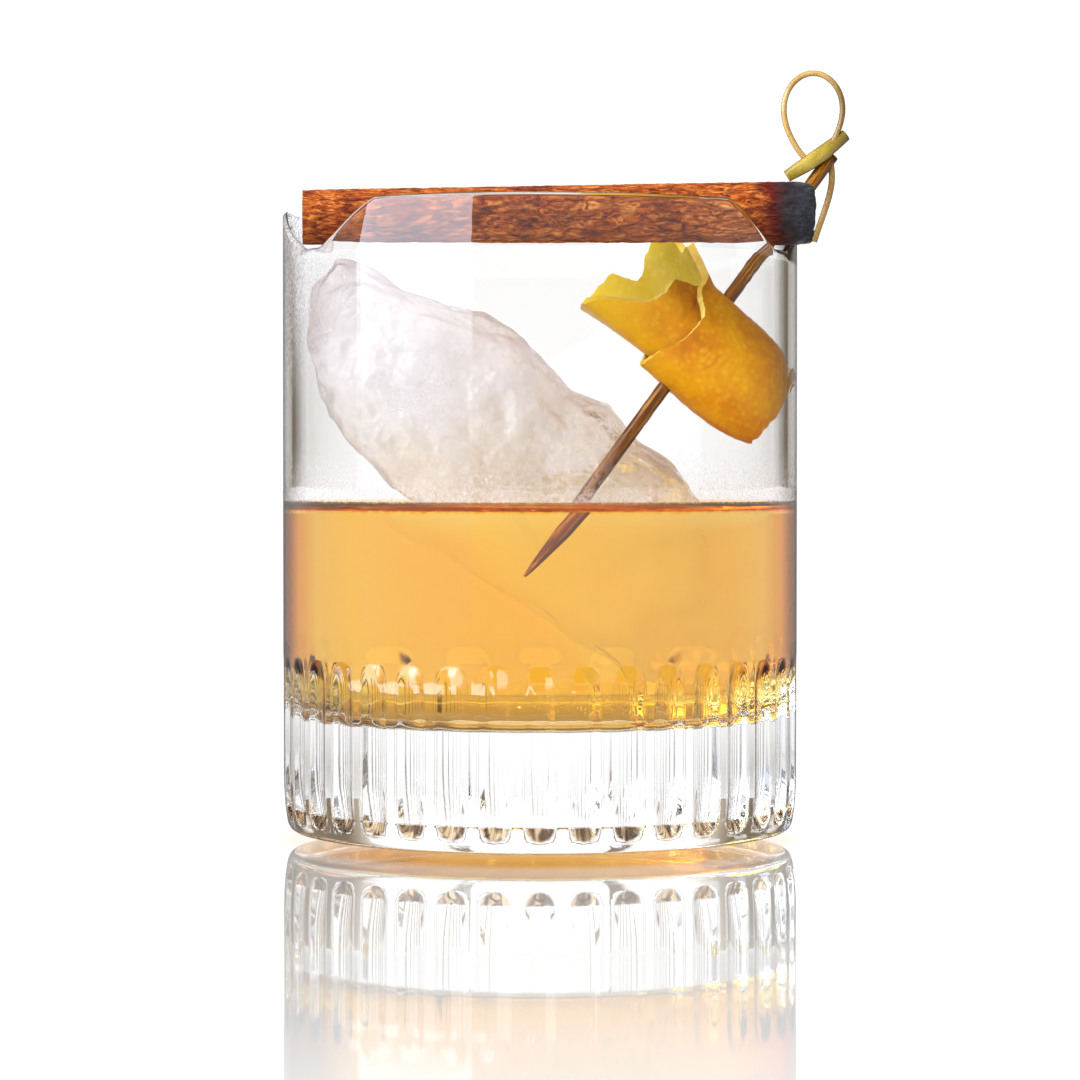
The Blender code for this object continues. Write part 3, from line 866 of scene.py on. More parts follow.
def stick_point(round_share, share):
    """A point of the bark's middle surface: rolled up from inside to outside."""
    along = STICK_RIGHT - STICK_LEFT
    forward = along.normalized()
    up = Vector((0.0, 0.0, 1.0))
    side = forward.cross(up)
    outside = STICK_LEFT_RADIUS + (STICK_RIGHT_RADIUS - STICK_LEFT_RADIUS) * share
    underside = STICK_LEFT_UNDERSIDE + (STICK_RIGHT_UNDERSIDE - STICK_LEFT_UNDERSIDE) * share
    turn = STICK_TURNS * round_share
    angle = 2.0 * math.pi * (turn + STICK_SEAM_TURN)
    from_end = (1.0 - share) * along.length
    burn = max(0.0, 1.0 - from_end / CHAR_LENGTH)
    radius = outside - 0.5 * STICK_BARK + table_value(STICK_ROLL, turn) * MM
    round_place = radius * angle
    groove = noise.noise(
        Vector((share * along.length / BARK_GROOVE_LENGTH, round_place / BARK_GROOVE_WIDTH, 0.7 * turn))
    )
    crackle = noise.noise(Vector((share * along.length, round_place, turn * MM)) / BARK_CRACKLE_SIZE)
    radius -= BARK_GROOVE * (abs(groove) ** 0.7 + 0.35 * abs(crackle))
    radius -= CHAR_ROUNDING * burn ** 5 * turn / STICK_TURNS + 1.8 * BARK_GROOVE * burn * abs(crackle)
    place = STICK_LEFT + along * share + up * (underside + outside)
    return place + side * radius * math.cos(angle) + up * radius * math.sin(angle)


def make_bark_material():
    """Cinnamon bark: dry and matt, red-brown with dark wavy fissures, shiny black where burnt."""
    material, tree = new_material("dried cinnamon bark")
    place = put(tree, "ShaderNodeTexCoord")
    grain_place = put(
        tree, "ShaderNodeMapping", {"Vector": place.outputs["Object"], "Scale": BARK_FIBRE_DENSITY}
    )
    grain = put(
        tree, "ShaderNodeTexNoise",
        {
            "Vector": grain_place.outputs[0],
            "Scale": 1.0,
            "Detail": 7.0,
            "Roughness": 0.74,
            "Distortion": 1.3,
        },
    )
    tone = set_ramp(
        put(tree, "ShaderNodeValToRGB", {"Fac": grain.outputs["Fac"]}),
        [
            (0.36, linear("#3E1206")),
            (0.44, linear("#8A360A")),
            (0.52, linear("#BA5E16")),
            (0.63, linear("#E09A4C")),
        ],
    )
    broad = put(
        tree, "ShaderNodeTexNoise",
        {"Vector": place.outputs["Object"], "Scale": BARK_MOTTLE_DENSITY, "Detail": 3.0},
    )
    mottle = set_ramp(
        put(tree, "ShaderNodeValToRGB", {"Fac": broad.outputs["Fac"]}),
        [(0.35, linear("#B48A80")), (0.58, linear("#FFFFFF"))],
    )
    bark = put(
        tree, "ShaderNodeMix",
        {"Factor": 0.75, "A": tone.outputs["Color"], "B": mottle.outputs["Color"]},
        data_type="RGBA", blend_type="MULTIPLY",
    )
    fissure_place = put(
        tree, "ShaderNodeMapping", {"Vector": place.outputs["Object"], "Scale": BARK_FISSURE_DENSITY}
    )
    fissure = put(
        tree, "ShaderNodeTexVoronoi",
        {"Vector": fissure_place.outputs[0], "Scale": 1.0, "Randomness": 1.0},
        feature="DISTANCE_TO_EDGE",
    )
    crack = set_ramp(
        put(tree, "ShaderNodeValToRGB", {"Fac": fissure.outputs["Distance"]}),
        [(0.0, linear("#4A1A0C")), (0.05, linear("#9A5A38")), (0.13, linear("#FFFFFF"))],
    )
    cracked = put(
        tree, "ShaderNodeMix",
        {"Factor": 0.50, "A": bark.outputs["Result"], "B": crack.outputs["Color"]},
        data_type="RGBA", blend_type="MULTIPLY",
    )
    parts = put(tree, "ShaderNodeSeparateXYZ", {"Vector": place.outputs["Object"]})
    ragged = put(
        tree, "ShaderNodeMath", {0: broad.outputs["Fac"], 1: SCORCH_RAGGEDNESS, 2: parts.outputs["X"]},
        operation="MULTIPLY_ADD",
    )
    burn = put(
        tree, "ShaderNodeMapRange",
        {"Value": ragged.outputs[0], "From Min": SCORCH_FROM, "From Max": SCORCH_TO},
    )
    char_tone = set_ramp(
        put(tree, "ShaderNodeValToRGB", {"Fac": grain.outputs["Fac"]}),
        [(0.35, linear("#141418")), (0.55, linear("#2C2D35")), (0.75, linear("#565964"))],
    )
    scorch = set_ramp(
        put(tree, "ShaderNodeValToRGB", {"Fac": burn.outputs[0]}),
        [(0.0, linear("#FFFFFF")), (0.45, linear("#8E4A4A")), (0.75, linear("#4A3038"))],
    )
    darkened_to_the_right = put(
        tree, "ShaderNodeMix",
        {"Factor": 1.0, "A": cracked.outputs["Result"], "B": scorch.outputs["Color"]},
        data_type="RGBA", blend_type="MULTIPLY",
    )
    black = put(
        tree, "ShaderNodeMapRange", {"Value": burn.outputs[0], "From Min": 0.5, "From Max": 0.95}
    )
    colour = put(
        tree, "ShaderNodeMix",
        {"Factor": black.outputs[0], "A": darkened_to_the_right.outputs["Result"], "B": char_tone.outputs["Color"]},
        data_type="RGBA",
    )
    gloss = put(
        tree, "ShaderNodeMapRange",
        {"Value": burn.outputs[0], "From Min": 0.5, "From Max": 1.0, "To Min": 0.72, "To Max": 0.24},
    )
    bump = put(
        tree, "ShaderNodeBump",
        {"Height": grain.outputs["Fac"], "Strength": 1.0, "Distance": 0.35 * MM},
    )
    shader = put(
        tree, "ShaderNodeBsdfPrincipled",
        {
            "Base Color": colour.outputs["Result"],
            "Roughness": gloss.outputs[0],
            "Specular IOR Level": 0.25,
            "Normal": bump.outputs["Normal"],
        },
    )
    put(tree, "ShaderNodeOutputMaterial", {"Surface": shader.outputs[0]})
    return material


bark = make_bark_material()
stick = roll_sheet("cinnamon_quill", STICK_AROUND, STICK_ALONG, stick_point, STICK_BARK, [bark] * 3)
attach(stick, "root")
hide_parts("cinnamon_stick")

# Bamboo pick: one split strip of bamboo, its stem pointed and browned, its head bent
# into a loop and tied in a flat knot
PICK_TIP = Vector((-2.0, -14.5, 41.0)) * MM
PICK_REST = Vector((40.0, -3.4, 98.5)) * MM
PICK_RADIUS = 1.08 * MM
PICK_POINT_LENGTH = 8.5 * MM
PICK_TOP_SHARE = 1.155
PICK_SIDES = 20
STRAND_HALF_WIDTH = 0.50 * MM
STRAND_HALF_THICKNESS = 0.46 * MM
LOOP_CENTRE = Vector((43.4, -2.7, 113.4)) * MM
LOOP_HALF_WIDTH = 5.1 * MM
LOOP_HALF_HEIGHT = 7.0 * MM
LOOP_TIP_PINCH = 0.45
LOOP_STEPS = 64
BAND_POINTS = [Vector(p) * MM for p in ((39.2, -2.9, 104.0), (43.8, -3.4, 106.9), (48.6, -2.7, 110.6))]
BAND_HALF_HEIGHT = 1.25 * MM
BAND_HALF_THICKNESS = 0.80 * MM
TAIL_POINTS = [Vector(p) * MM for p in ((45.9, -2.8, 108.5), (46.4, -1.2, 102.5), (43.7, -1.2, 93.8))]
STEM_GRAIN = tuple(per_mm / MM for per_mm in (0.12, 1.9, 1.9))
STRAND_GRAIN = tuple(per_mm / MM for per_mm in (0.24, 0.24, 0.24))
KNOT_GRAIN = tuple(per_mm / MM for per_mm in (0.14, 0.52, 0.52))
BAMBOO_DARKER_FROM = 44.0 * MM
BAMBOO_DARKER_TO = 49.0 * MM


def tube_rings(path, widths, heights, sides):
    """Oval rings along a path, their widths lying in the plane that faces the front."""
    front = Vector((0.0, -1.0, 0.0))
    rings = []
    for i, point in enumerate(path):
        before = path[max(i - 1, 0)]
        after = path[min(i + 1, len(path) - 1)]
        forward = (after - before).normalized()
        across = forward.cross(front).normalized()
        upward = across.cross(forward).normalized()
        ring = []
        for side in range(sides):
            angle = 2.0 * math.pi * side / sides
            ring.append(
                point + across * widths[i] * math.cos(angle) + upward * heights[i] * math.sin(angle)
            )
        rings.append(ring)
    return rings


def curve_through(points, steps):
    """A smooth path through a few points."""
    padded = [points[0] * 2.0 - points[1]] + list(points) + [points[-1] * 2.0 - points[-2]]
    path = []
    for i in range(1, len(padded) - 2):
        before, start, end, after = padded[i - 1 : i + 3]
        for step in range(steps):
            t = step / steps
            bend = before * 2.0 - start * 5.0 + end * 4.0 - after
            twist = start * 3.0 - before - end * 3.0 + after
            path.append(0.5 * (start * 2.0 + (end - before) * t + bend * t * t + twist * t * t * t))
    path.append(points[-1].copy())
    return path


def build_stem():
    """The straight stem, which tapers to its point with fine unevenness along it."""
    along = PICK_REST - PICK_TIP
    shares = [0.0, 0.02, 0.05, 0.1, 0.2, 0.35, 0.55, 0.8, 1.0]
    point_share = PICK_POINT_LENGTH / along.length
    path = [PICK_TIP + along * point_share * s for s in shares]
    radii = [PICK_RADIUS * (0.16 + 0.84 * s ** 0.75) for s in shares]
    steps = 48
    for i in range(1, steps + 1):
        share = point_share + (PICK_TOP_SHARE - point_share) * i / steps
        path.append(PICK_TIP + along * share)
        radii.append(PICK_RADIUS * (1.0 + 0.03 * noise.noise(Vector((share * 40.0, 0.0, 0.0)))))
    return grow_rings("pick_stem", tube_rings(path, radii, radii, PICK_SIDES))


def build_loop():
    """The loop of bent strand, narrower at its top than a circle."""
    path = []
    for i in range(LOOP_STEPS + 1):
        turn = 2.0 * math.pi * i / LOOP_STEPS
        low = 0.5 - 0.5 * math.cos(turn)
        width = LOOP_HALF_WIDTH * (1.0 - LOOP_TIP_PINCH * (1.0 - low) ** 2)
        x = width * math.sin(turn)
        z = -LOOP_HALF_HEIGHT * math.cos(turn)
        path.append(LOOP_CENTRE + Vector((x, -0.6 * MM * math.cos(0.5 * turn), z)))
    widths = [STRAND_HALF_THICKNESS] * len(path)
    heights = [STRAND_HALF_WIDTH] * len(path)
    return grow_rings("pick_loop", tube_rings(path, widths, heights, PICK_SIDES))


def build_band():
    """The flat band of the knot, tied across the foot of the loop."""
    path = curve_through(BAND_POINTS, 12)
    last = len(path) - 1
    widths = [BAND_HALF_HEIGHT * (0.75 + 0.25 * math.sin(math.pi * i / last)) for i in range(last + 1)]
    heights = [BAND_HALF_THICKNESS] * len(path)
    return grow_rings("pick_knot", tube_rings(path, widths, heights, PICK_SIDES))


def build_tail():
    """The loose end of the strand, which hangs down outside the rim."""
    path = curve_through(TAIL_POINTS, 14)
    widths = [STRAND_HALF_WIDTH] * len(path)
    heights = [STRAND_HALF_THICKNESS] * len(path)
    return grow_rings("pick_tail", tube_rings(path, widths, heights, PICK_SIDES))


def make_bamboo_material(name, dark, middle, pale, grain, relief):
    """Split bamboo: smooth, with fibres that run the way of the stem, darker brown to the right, and painted
    shade at its grazing edges.
    """
    material, tree = new_material(name)
    place = put(tree, "ShaderNodeTexCoord")
    lean = (PICK_REST - PICK_TIP).to_track_quat("X", "Z").inverted().to_euler()
    turned = put(tree, "ShaderNodeMapping", {"Vector": place.outputs["Object"], "Rotation": lean})
    stretched = put(tree, "ShaderNodeMapping", {"Vector": turned.outputs[0], "Scale": grain})
    fibre = put(
        tree, "ShaderNodeTexNoise",
        {"Vector": stretched.outputs[0], "Scale": 1.0, "Detail": 4.0, "Roughness": 0.6},
    )
    tone = set_ramp(
        put(tree, "ShaderNodeValToRGB", {"Fac": fibre.outputs["Fac"]}),
        [(0.3, linear(dark)), (0.5, linear(middle)), (0.72, linear(pale))],
    )
    bump = put(
        tree, "ShaderNodeBump",
        {"Height": fibre.outputs["Fac"], "Strength": relief, "Distance": 0.05 * MM},
    )
    # Painted shade: the strand darkens towards its grazing edges, as if lit across its middle.
    facing = put(tree, "ShaderNodeLayerWeight", {"Blend": 0.5})
    sides = set_ramp(
        put(tree, "ShaderNodeValToRGB", {"Fac": facing.outputs["Facing"]}),
        [(0.25, linear("#FFFFFF")), (0.62, linear("#B08A5C")), (1.0, linear("#6E4A22"))],
    )
    with_painted_edge_shade = put(
        tree, "ShaderNodeMix",
        {"Factor": 1.0, "A": tone.outputs["Color"], "B": sides.outputs["Color"]},
        data_type="RGBA", blend_type="MULTIPLY",
    )
    # Darker brown towards the right, from 44 to 49 mm across.
    parts = put(tree, "ShaderNodeSeparateXYZ", {"Vector": place.outputs["Object"]})
    outwards = put(
        tree, "ShaderNodeMapRange",
        {
            "Value": parts.outputs["X"],
            "From Min": BAMBOO_DARKER_FROM,
            "From Max": BAMBOO_DARKER_TO,
            "To Max": 0.75,
        },
        interpolation_type="SMOOTHSTEP",
    )
    darkened_to_the_right = put(
        tree, "ShaderNodeMix",
        {"Factor": outwards.outputs[0], "A": with_painted_edge_shade.outputs["Result"], "B": linear("#4E3A18")},
        data_type="RGBA",
    )
    shader = put(
        tree, "ShaderNodeBsdfPrincipled",
        {
            "Base Color": darkened_to_the_right.outputs["Result"],
            "Roughness": 0.34,
            "Specular IOR Level": 0.3,
            "Coat Weight": 0.2,
            "Coat Roughness": 0.12,
            "Normal": bump.outputs["Normal"],
        },
    )
    put(tree, "ShaderNodeOutputMaterial", {"Surface": shader.outputs[0]})
    return material


stem_bamboo = make_bamboo_material("browned bamboo", "#341900", "#744000", "#C88A1C", STEM_GRAIN, 0.2)
strand_bamboo = make_bamboo_material("pale bamboo", "#AA8440", "#C09A56", "#D6B47A", STRAND_GRAIN, 0.02)
knot_bamboo = make_bamboo_material("green-gold bamboo", "#8A741E", "#A89034", "#C4AC50", KNOT_GRAIN, 0.05)
for build, bamboo in (
    (build_stem, stem_bamboo),
    (build_loop, strand_bamboo),
    (build_band, knot_bamboo),
    (build_tail, strand_bamboo),
):
    piece = build()
    piece.data.materials.append(bamboo)
    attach(piece, "root")
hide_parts("pick")

# Citrus peel: a strip of thin-cut orange rind, pitted with oil glands, rolled up on
# itself and run through by the pick. Its inner turn opens out to the left
PEEL_ON_PICK = 0.638
PEEL_AXIS = Vector((0.76, 0.0, -0.65)).normalized()
PEEL_THICKNESS = 1.2 * MM
PEEL_INNER_RADIUS = 5.2 * MM
PEEL_PITCH = 2.1 * MM
PEEL_TURNS = 1.67
PEEL_RIGHT = 16.5 * MM
PEEL_TAPER = 0.45
PEEL_FLARE = 3.0 * MM
PEEL_FLARE_LIFT = 2.2 * MM
PEEL_FLARE_START = -4.0 * MM
PEEL_FLARE_LENGTH = 12.0 * MM
PEEL_FRILL = 0.5 * MM
PEEL_FRILLS_A_TURN = 5.0
PEEL_LOBE = 1.8 * MM
PEEL_LOBE_TURN = 0.65
PEEL_LOBE_REACH = 0.07
PEEL_PRESS_SOFTNESS = 1.2 * MM
PEEL_AROUND = 260
PEEL_ALONG = 110
GLAND_SIZE = 0.95 * MM
GLAND_RISE = 0.07 * MM
GLAND_SPACING = 1.2 * MM
RIND_PATCH_DENSITY = 0.12 / MM
PEEL_PALE_FROM = 22.0 * MM
PEEL_PALE_TO = 8.0 * MM
PEEL_LEFT_EDGE = (
    (0.00, -5.0),
    (0.25, -9.2),
    (0.50, -17.6),
    (0.72, -17.4),
    (0.785, -13.2),
    (0.85, -15.2),
    (0.93, -13.4),
    (1.00, -10.6),
    (1.10, -5.3),
    (1.25, -1.8),
    (1.50, -4.4),
    (1.70, -5.0),
)


def peel_left_edge(turn):
    """How far the cut edge reaches along the roll at a turn, its saw marks included."""
    ragged = 0.40 * MM * noise.noise(Vector((turn * 22.0, 4.0, 0.0)))
    ragged += 0.22 * MM * noise.noise(Vector((turn * 70.0, 2.0, 0.0)))
    return table_value(PEEL_LEFT_EDGE, turn) * MM + ragged


def press_in_glass(point):
    """Flattens what would cross the wall, more gently the further it is inside."""
    limit = GLASS_RADIUS - WALL - 0.3 * MM
    reach = math.hypot(point.x, point.y)
    soft = PEEL_PRESS_SOFTNESS
    pressed = limit - soft * math.log1p(math.exp((limit - reach) / soft))
    return Vector((point.x * pressed / reach, point.y * pressed / reach, point.z))


def peel_point(round_share, share):
    """A point of the rind's middle surface, from the inner end of the roll outwards."""
    centre = PICK_TIP.lerp(PICK_REST, PEEL_ON_PICK)
    pick_way = (PICK_REST - PICK_TIP).normalized()
    up = (pick_way - PEEL_AXIS * pick_way.dot(PEEL_AXIS)).normalized()
    front = PEEL_AXIS.cross(up)
    front = front if front.y < 0.0 else -front
    turn = PEEL_TURNS * round_share
    angle = 2.0 * math.pi * turn
    left = peel_left_edge(turn)
    right = PEEL_RIGHT + 0.3 * MM * noise.noise(Vector((turn * 18.0, 9.0, 0.0)))
    along = left + (right - left) * share
    radius = PEEL_INNER_RADIUS + PEEL_PITCH * turn
    radius += math.sin(PEEL_FRILLS_A_TURN * angle) * PEEL_FRILL * (1.0 - share) ** 3
    from_lobe = (turn - PEEL_LOBE_TURN) / PEEL_LOBE_REACH
    radius += PEEL_LOBE * math.exp(-from_lobe * from_lobe) * (1.0 - share) ** 3
    flare = max(0.0, (PEEL_FLARE_START - along) / PEEL_FLARE_LENGTH)
    radius += flare * PEEL_FLARE
    taper = max(0.0, along / PEEL_RIGHT) ** 4 * PEEL_TAPER
    radius -= taper * (radius - PEEL_INNER_RADIUS * 0.75)
    gland_place = Vector((along, radius * angle, 0.0)) / GLAND_SIZE
    near = noise.voronoi(gland_place)[0][0]
    radius += GLAND_RISE * (1.0 - min(1.0, near * 1.7)) * 1.4
    point = centre + PEEL_AXIS * along
    point += up * (radius * math.cos(angle) + flare * PEEL_FLARE_LIFT)
    return press_in_glass(point + front * radius * math.sin(angle))


def make_peel_material(name, deep, middle, light, gland, roughness):
    """Orange rind: waxy and full of oil glands, glowing a little where light comes through."""
    material, tree = new_material(name)
    place = put(tree, "ShaderNodeTexCoord")
    patches = put(
        tree, "ShaderNodeTexNoise",
        {"Vector": place.outputs["Object"], "Scale": RIND_PATCH_DENSITY, "Detail": 3.0},
    )
    tone = set_ramp(
        put(tree, "ShaderNodeValToRGB", {"Fac": patches.outputs["Fac"]}),
        [(0.32, linear(deep)), (0.5, linear(middle)), (0.68, linear(light))],
    )
    glands = put(
        tree, "ShaderNodeTexVoronoi", {"Vector": place.outputs["Object"], "Scale": 1.0 / GLAND_SPACING}
    )
    dots = set_ramp(
        put(tree, "ShaderNodeValToRGB", {"Fac": glands.outputs["Distance"]}),
        [(0.0, (0.45, 0.45, 0.45, 1.0)), (0.25, (0.26, 0.26, 0.26, 1.0)), (0.50, (0.0, 0.0, 0.0, 1.0))],
    )
    speckled = put(
        tree, "ShaderNodeMix",
        {"Factor": dots.outputs["Color"], "A": tone.outputs["Color"], "B": linear(gland)},
        data_type="RGBA",
    )
    parts = put(tree, "ShaderNodeSeparateXYZ", {"Vector": place.outputs["Object"]})
    pale = put(
        tree, "ShaderNodeMapRange",
        {
            "Value": parts.outputs["X"],
            "From Min": PEEL_PALE_FROM,
            "From Max": PEEL_PALE_TO,
            "To Max": 0.75,
        },
    )
    colour = put(
        tree, "ShaderNodeMix",
        {"Factor": pale.outputs[0], "A": speckled.outputs["Result"], "B": linear("#E6C228")},
        data_type="RGBA",
    )
    bump = put(
        tree, "ShaderNodeBump",
        {"Height": glands.outputs["Distance"], "Strength": 0.35, "Distance": 0.15 * MM},
        invert=True,
    )
    rind = put(
        tree, "ShaderNodeBsdfPrincipled",
        {
            "Base Color": colour.outputs["Result"],
            "Roughness": roughness,
            "Specular IOR Level": 0.18,
            "Normal": bump.outputs["Normal"],
        },
    )
    glow = put(tree, "ShaderNodeBsdfTranslucent", {"Color": colour.outputs["Result"]})
    both = put(tree, "ShaderNodeMixShader", {0: 0.2, 1: rind.outputs[0], 2: glow.outputs[0]})
    put(tree, "ShaderNodeOutputMaterial", {"Surface": both.outputs[0]})
    return material


peel_coats = [
    make_peel_material("fresh orange zest", "#BA6400", "#D88800", "#E6A200", "#F0BE24", 0.34),
    make_peel_material("inner side of the rind", "#B6981E", "#CAB030", "#D8C24C", "#E4D274", 0.5),
    make_peel_material("cut pith edge", "#CCA42C", "#E0BC4C", "#ECD078", "#F2DE9C", 0.6),
]
peel = roll_sheet("peel_roll", PEEL_AROUND, PEEL_ALONG, peel_point, PEEL_THICKNESS, peel_coats)
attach(peel, "root")
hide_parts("peel")

# Table and light: a glossy white table that glows, with painted amber light round the glass's foot, before a
# white backdrop, the rest of the room dim, so that the glass gets dark edges, which painted shade in its
# material deepens. A tall soft box to the left of the camera is mirrored by the front wall, and soft lamps
# light the garnish
TABLE_SIZE = 24.0
TABLE_HEIGHT = -1.6 * MM
TABLE_RIPPLE_DENSITY = 0.014 / MM
MIRROR_NEAR = 0.72
MIRROR_FAR = 0.14
MIRROR_FADE_FROM = 0.075
MIRROR_FADE_TO = 0.260
PAINTED_CAST_FROM = 0.036
PAINTED_CAST_TO = 0.046
SOFT_BOX_DISTANCE = 0.80
SOFT_BOX_FROM = 29.0
SOFT_BOX_TO = 86.0
SOFT_BOX_HEIGHT = 0.9
SOFT_BOX_COLOUR = (3.9, 4.4, 5.1, 1.0)
SOFT_BOX_DIM_BELOW = 0.10
SOFT_BOX_FULL_ABOVE = 0.168
SOFT_BOX_STRENGTH = (0.20, 1.75)
BACKDROP_EDGE = (math.cos(math.radians(36.0)), math.cos(math.radians(21.0)))
BACKDROP_TOP = (math.sin(math.radians(44.0)), math.sin(math.radians(24.0)))
OVERHEAD = (math.sin(math.radians(58.0)), math.sin(math.radians(72.0)))
BACKDROP_BRIGHTNESS = 1.12
ROOM_BRIGHTNESS = 0.20
ROOM_COLOUR = "#FFE3BC"


def make_table_material():
    """Polished white table top that glows, more of a mirror near the glass than away from it, with painted
    amber light round the glass's foot.
    """
    material, tree = new_material("polished white table")
    place = put(tree, "ShaderNodeTexCoord")
    away = put(tree, "ShaderNodeVectorMath", {0: place.outputs["Object"]}, operation="LENGTH")
    ripple = put(
        tree, "ShaderNodeTexNoise",
        {"Vector": place.outputs["Object"], "Scale": TABLE_RIPPLE_DENSITY, "Detail": 1.0},
    )
    unevenness = put(
        tree, "ShaderNodeMath", {0: ripple.outputs["Fac"], 1: 0.02}, operation="MULTIPLY"
    )
    mirror = put(
        tree, "ShaderNodeMapRange",
        {
            "Value": away.outputs["Value"],
            "From Min": MIRROR_FADE_FROM,
            "From Max": MIRROR_FADE_TO,
            "To Min": MIRROR_NEAR,
            "To Max": MIRROR_FAR,
        },
        interpolation_type="SMOOTHSTEP",
    )
    rest = put(
        tree, "ShaderNodeMath", {0: 1.0, 1: mirror.outputs[0]}, operation="SUBTRACT"
    )
    white = put(
        tree, "ShaderNodeMath", {0: rest.outputs[0], 1: unevenness.outputs[0]}, operation="ADD"
    )
    # Painted light: an amber cast glows in the table under and just round the glass's foot, standing in for
    # light the drink throws.
    painted_amber_cast = put(
        tree, "ShaderNodeMapRange",
        {"Value": away.outputs["Value"], "From Min": PAINTED_CAST_FROM, "From Max": PAINTED_CAST_TO},
        interpolation_type="SMOOTHSTEP",
    )
    light = put(
        tree, "ShaderNodeMix",
        {"Factor": painted_amber_cast.outputs[0], "A": linear("#F4AE34"), "B": linear("#FFFFFF")},
        data_type="RGBA",
    )
    glow = put(
        tree, "ShaderNodeEmission", {"Color": light.outputs["Result"], "Strength": white.outputs[0]}
    )
    gloss = put(
        tree, "ShaderNodeBsdfGlossy", {"Color": mirror.outputs[0], "Roughness": 0.02}
    )
    both = put(tree, "ShaderNodeAddShader", {0: glow.outputs[0], 1: gloss.outputs[0]})
    put(tree, "ShaderNodeOutputMaterial", {"Surface": both.outputs[0]})
    return material


def make_soft_box_material():
    """Lit fabric, brighter towards its top."""
    material, tree = new_material("soft box fabric")
    place = put(tree, "ShaderNodeTexCoord")
    parts = put(tree, "ShaderNodeSeparateXYZ", {"Vector": place.outputs["Object"]})
    strength = put(
        tree, "ShaderNodeMapRange",
        {
            "Value": parts.outputs["Z"],
            "From Min": SOFT_BOX_DIM_BELOW,
            "From Max": SOFT_BOX_FULL_ABOVE,
            "To Min": SOFT_BOX_STRENGTH[0],
            "To Max": SOFT_BOX_STRENGTH[1],
        },
    )
    glow = put(
        tree, "ShaderNodeEmission", {"Color": SOFT_BOX_COLOUR, "Strength": strength.outputs[0]}
    )
    put(tree, "ShaderNodeOutputMaterial", {"Surface": glow.outputs[0]})
    return material


deselect_all()
bpy.ops.mesh.primitive_plane_add(size=TABLE_SIZE)
table = bpy.context.object
table.name = "table_top"
for vert in table.data.vertices:
    vert.co.z = TABLE_HEIGHT
table.data.materials.append(make_table_material())

deselect_all()
bpy.ops.mesh.primitive_plane_add(size=1.0)
soft_box = bpy.context.object
soft_box.name = "soft_box"
left_end = around(-SOFT_BOX_TO, SOFT_BOX_DISTANCE, 0.0)
right_end = around(-SOFT_BOX_FROM, SOFT_BOX_DISTANCE, 0.0)
for vert in soft_box.data.vertices:
    height = SOFT_BOX_HEIGHT * (vert.co.y + 0.5)
    vert.co = left_end.lerp(right_end, vert.co.x + 0.5) + Vector((0.0, 0.0, height))
soft_box.data.materials.append(make_soft_box_material())
soft_box.visible_camera = False


def add_lamp(name, location, size, power, colour):
    """A soft lamp that faces the drink and is neither mirrored nor seen through it."""
    lamp = bpy.data.lights.new(name, "AREA")
    lamp.size = size
    lamp.energy = power
    lamp.color = colour[:3]
    holder = bpy.data.objects.new(name, lamp)
    bpy.context.scene.collection.objects.link(holder)
    holder.location = location
    aim = Vector((0.0, 0.0, 0.07)) - Vector(location)
    holder.rotation_euler = aim.to_track_quat("-Z", "Y").to_euler()
    holder.visible_camera = False
    holder.visible_glossy = False
    holder.visible_transmission = False


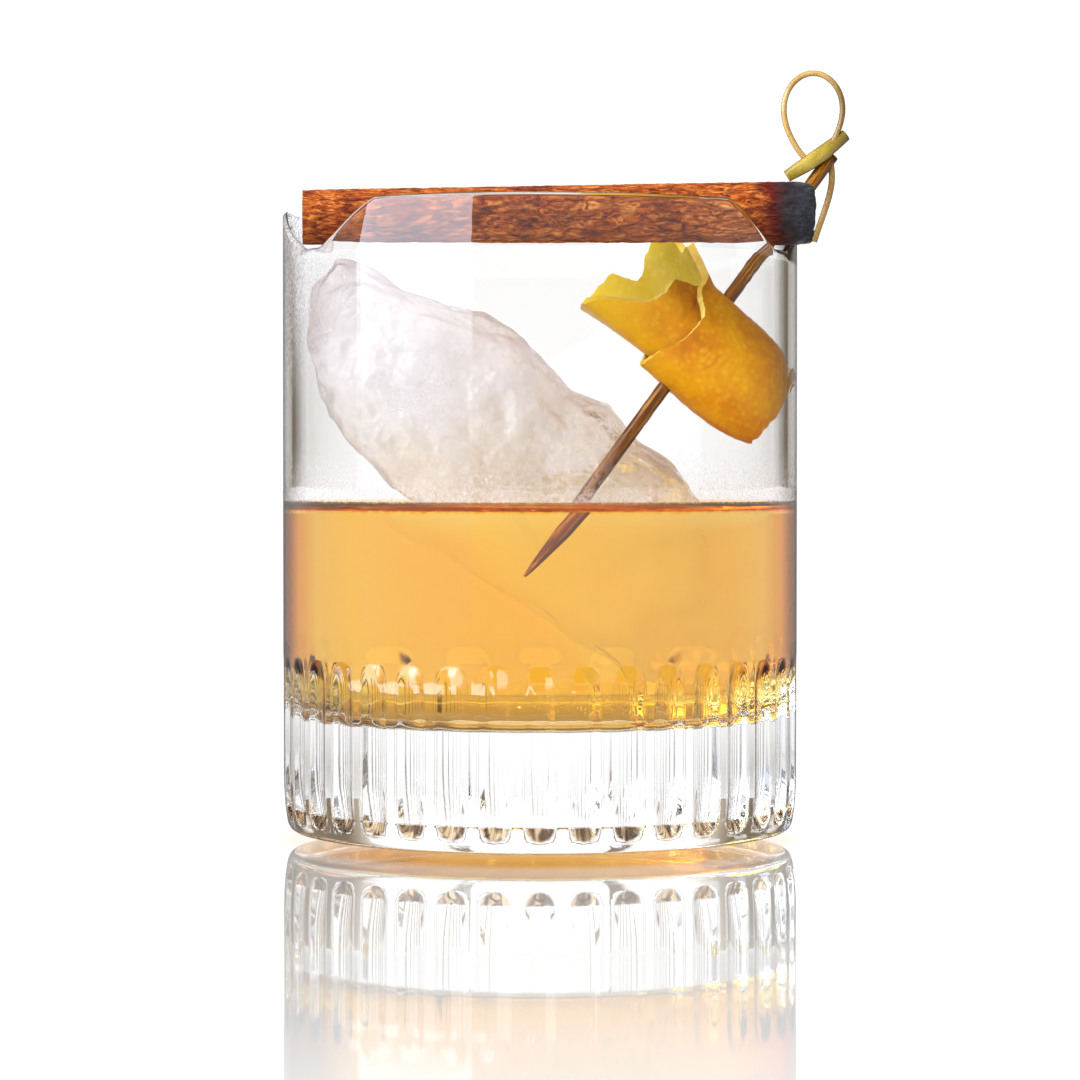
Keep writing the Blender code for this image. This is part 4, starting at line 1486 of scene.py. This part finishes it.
def light_room():
    """White behind the drink, over it and to the camera, dim and warm everywhere else."""
    world = bpy.data.worlds.new("white backdrop in a dim room")
    bpy.context.scene.world = world
    world.use_nodes = True
    tree = world.node_tree
    tree.nodes.clear()
    place = put(tree, "ShaderNodeTexCoord")
    parts = put(tree, "ShaderNodeSeparateXYZ", {"Vector": place.outputs["Generated"]})
    flat = put(
        tree, "ShaderNodeVectorMath", {0: place.outputs["Generated"], 1: (1.0, 1.0, 0.0)},
        operation="MULTIPLY",
    )
    way = put(tree, "ShaderNodeVectorMath", {0: flat.outputs[0]}, operation="NORMALIZE")
    way_parts = put(tree, "ShaderNodeSeparateXYZ", {"Vector": way.outputs[0]})
    across = put(
        tree, "ShaderNodeMapRange",
        {"Value": way_parts.outputs["Y"], "From Min": BACKDROP_EDGE[0], "From Max": BACKDROP_EDGE[1]},
        interpolation_type="SMOOTHSTEP",
    )
    upwards = put(
        tree, "ShaderNodeMapRange",
        {"Value": parts.outputs["Z"], "From Min": BACKDROP_TOP[0], "From Max": BACKDROP_TOP[1]},
        interpolation_type="SMOOTHSTEP",
    )
    behind = put(tree, "ShaderNodeMath", {0: across.outputs[0], 1: upwards.outputs[0]}, operation="MULTIPLY")
    overhead = put(
        tree, "ShaderNodeMapRange",
        {"Value": parts.outputs["Z"], "From Min": OVERHEAD[0], "From Max": OVERHEAD[1], "To Max": 0.8},
        interpolation_type="SMOOTHSTEP",
    )
    backdrop = put(
        tree, "ShaderNodeMath", {0: behind.outputs[0], 1: overhead.outputs[0]}, operation="MAXIMUM"
    )
    path = put(tree, "ShaderNodeLightPath")
    white = put(
        tree, "ShaderNodeMath", {0: backdrop.outputs[0], 1: path.outputs["Is Camera Ray"]},
        operation="MAXIMUM",
    )
    brightness = put(
        tree, "ShaderNodeMapRange",
        {"Value": white.outputs[0], "To Min": ROOM_BRIGHTNESS, "To Max": BACKDROP_BRIGHTNESS},
    )
    colour = put(
        tree, "ShaderNodeMix",
        {"Factor": white.outputs[0], "A": linear(ROOM_COLOUR), "B": linear("#FFFFFF")},
        data_type="RGBA",
    )
    light = put(
        tree, "ShaderNodeBackground",
        {"Color": colour.outputs["Result"], "Strength": brightness.outputs[0]},
    )
    put(tree, "ShaderNodeOutputWorld", {"Surface": light.outputs[0]})


add_lamp("top_lamp", (0.15, -0.10, 0.85), 0.5, 6.2, linear("#FFFFFF"))
add_lamp("front_lamp", (-0.40, -0.80, 0.40), 0.5, 4.2, linear("#FFF8F0"))
add_lamp("back_lamp", (-0.10, 0.95, 0.45), 0.7, 4.6, linear("#FFFFFF"))
light_room()

scene = bpy.context.scene
scene.view_settings.view_transform = "Standard"
scene.cycles.max_bounces = 16
scene.cycles.transmission_bounces = 16
scene.cycles.transparent_max_bounces = 24
scene.cycles.glossy_bounces = 12
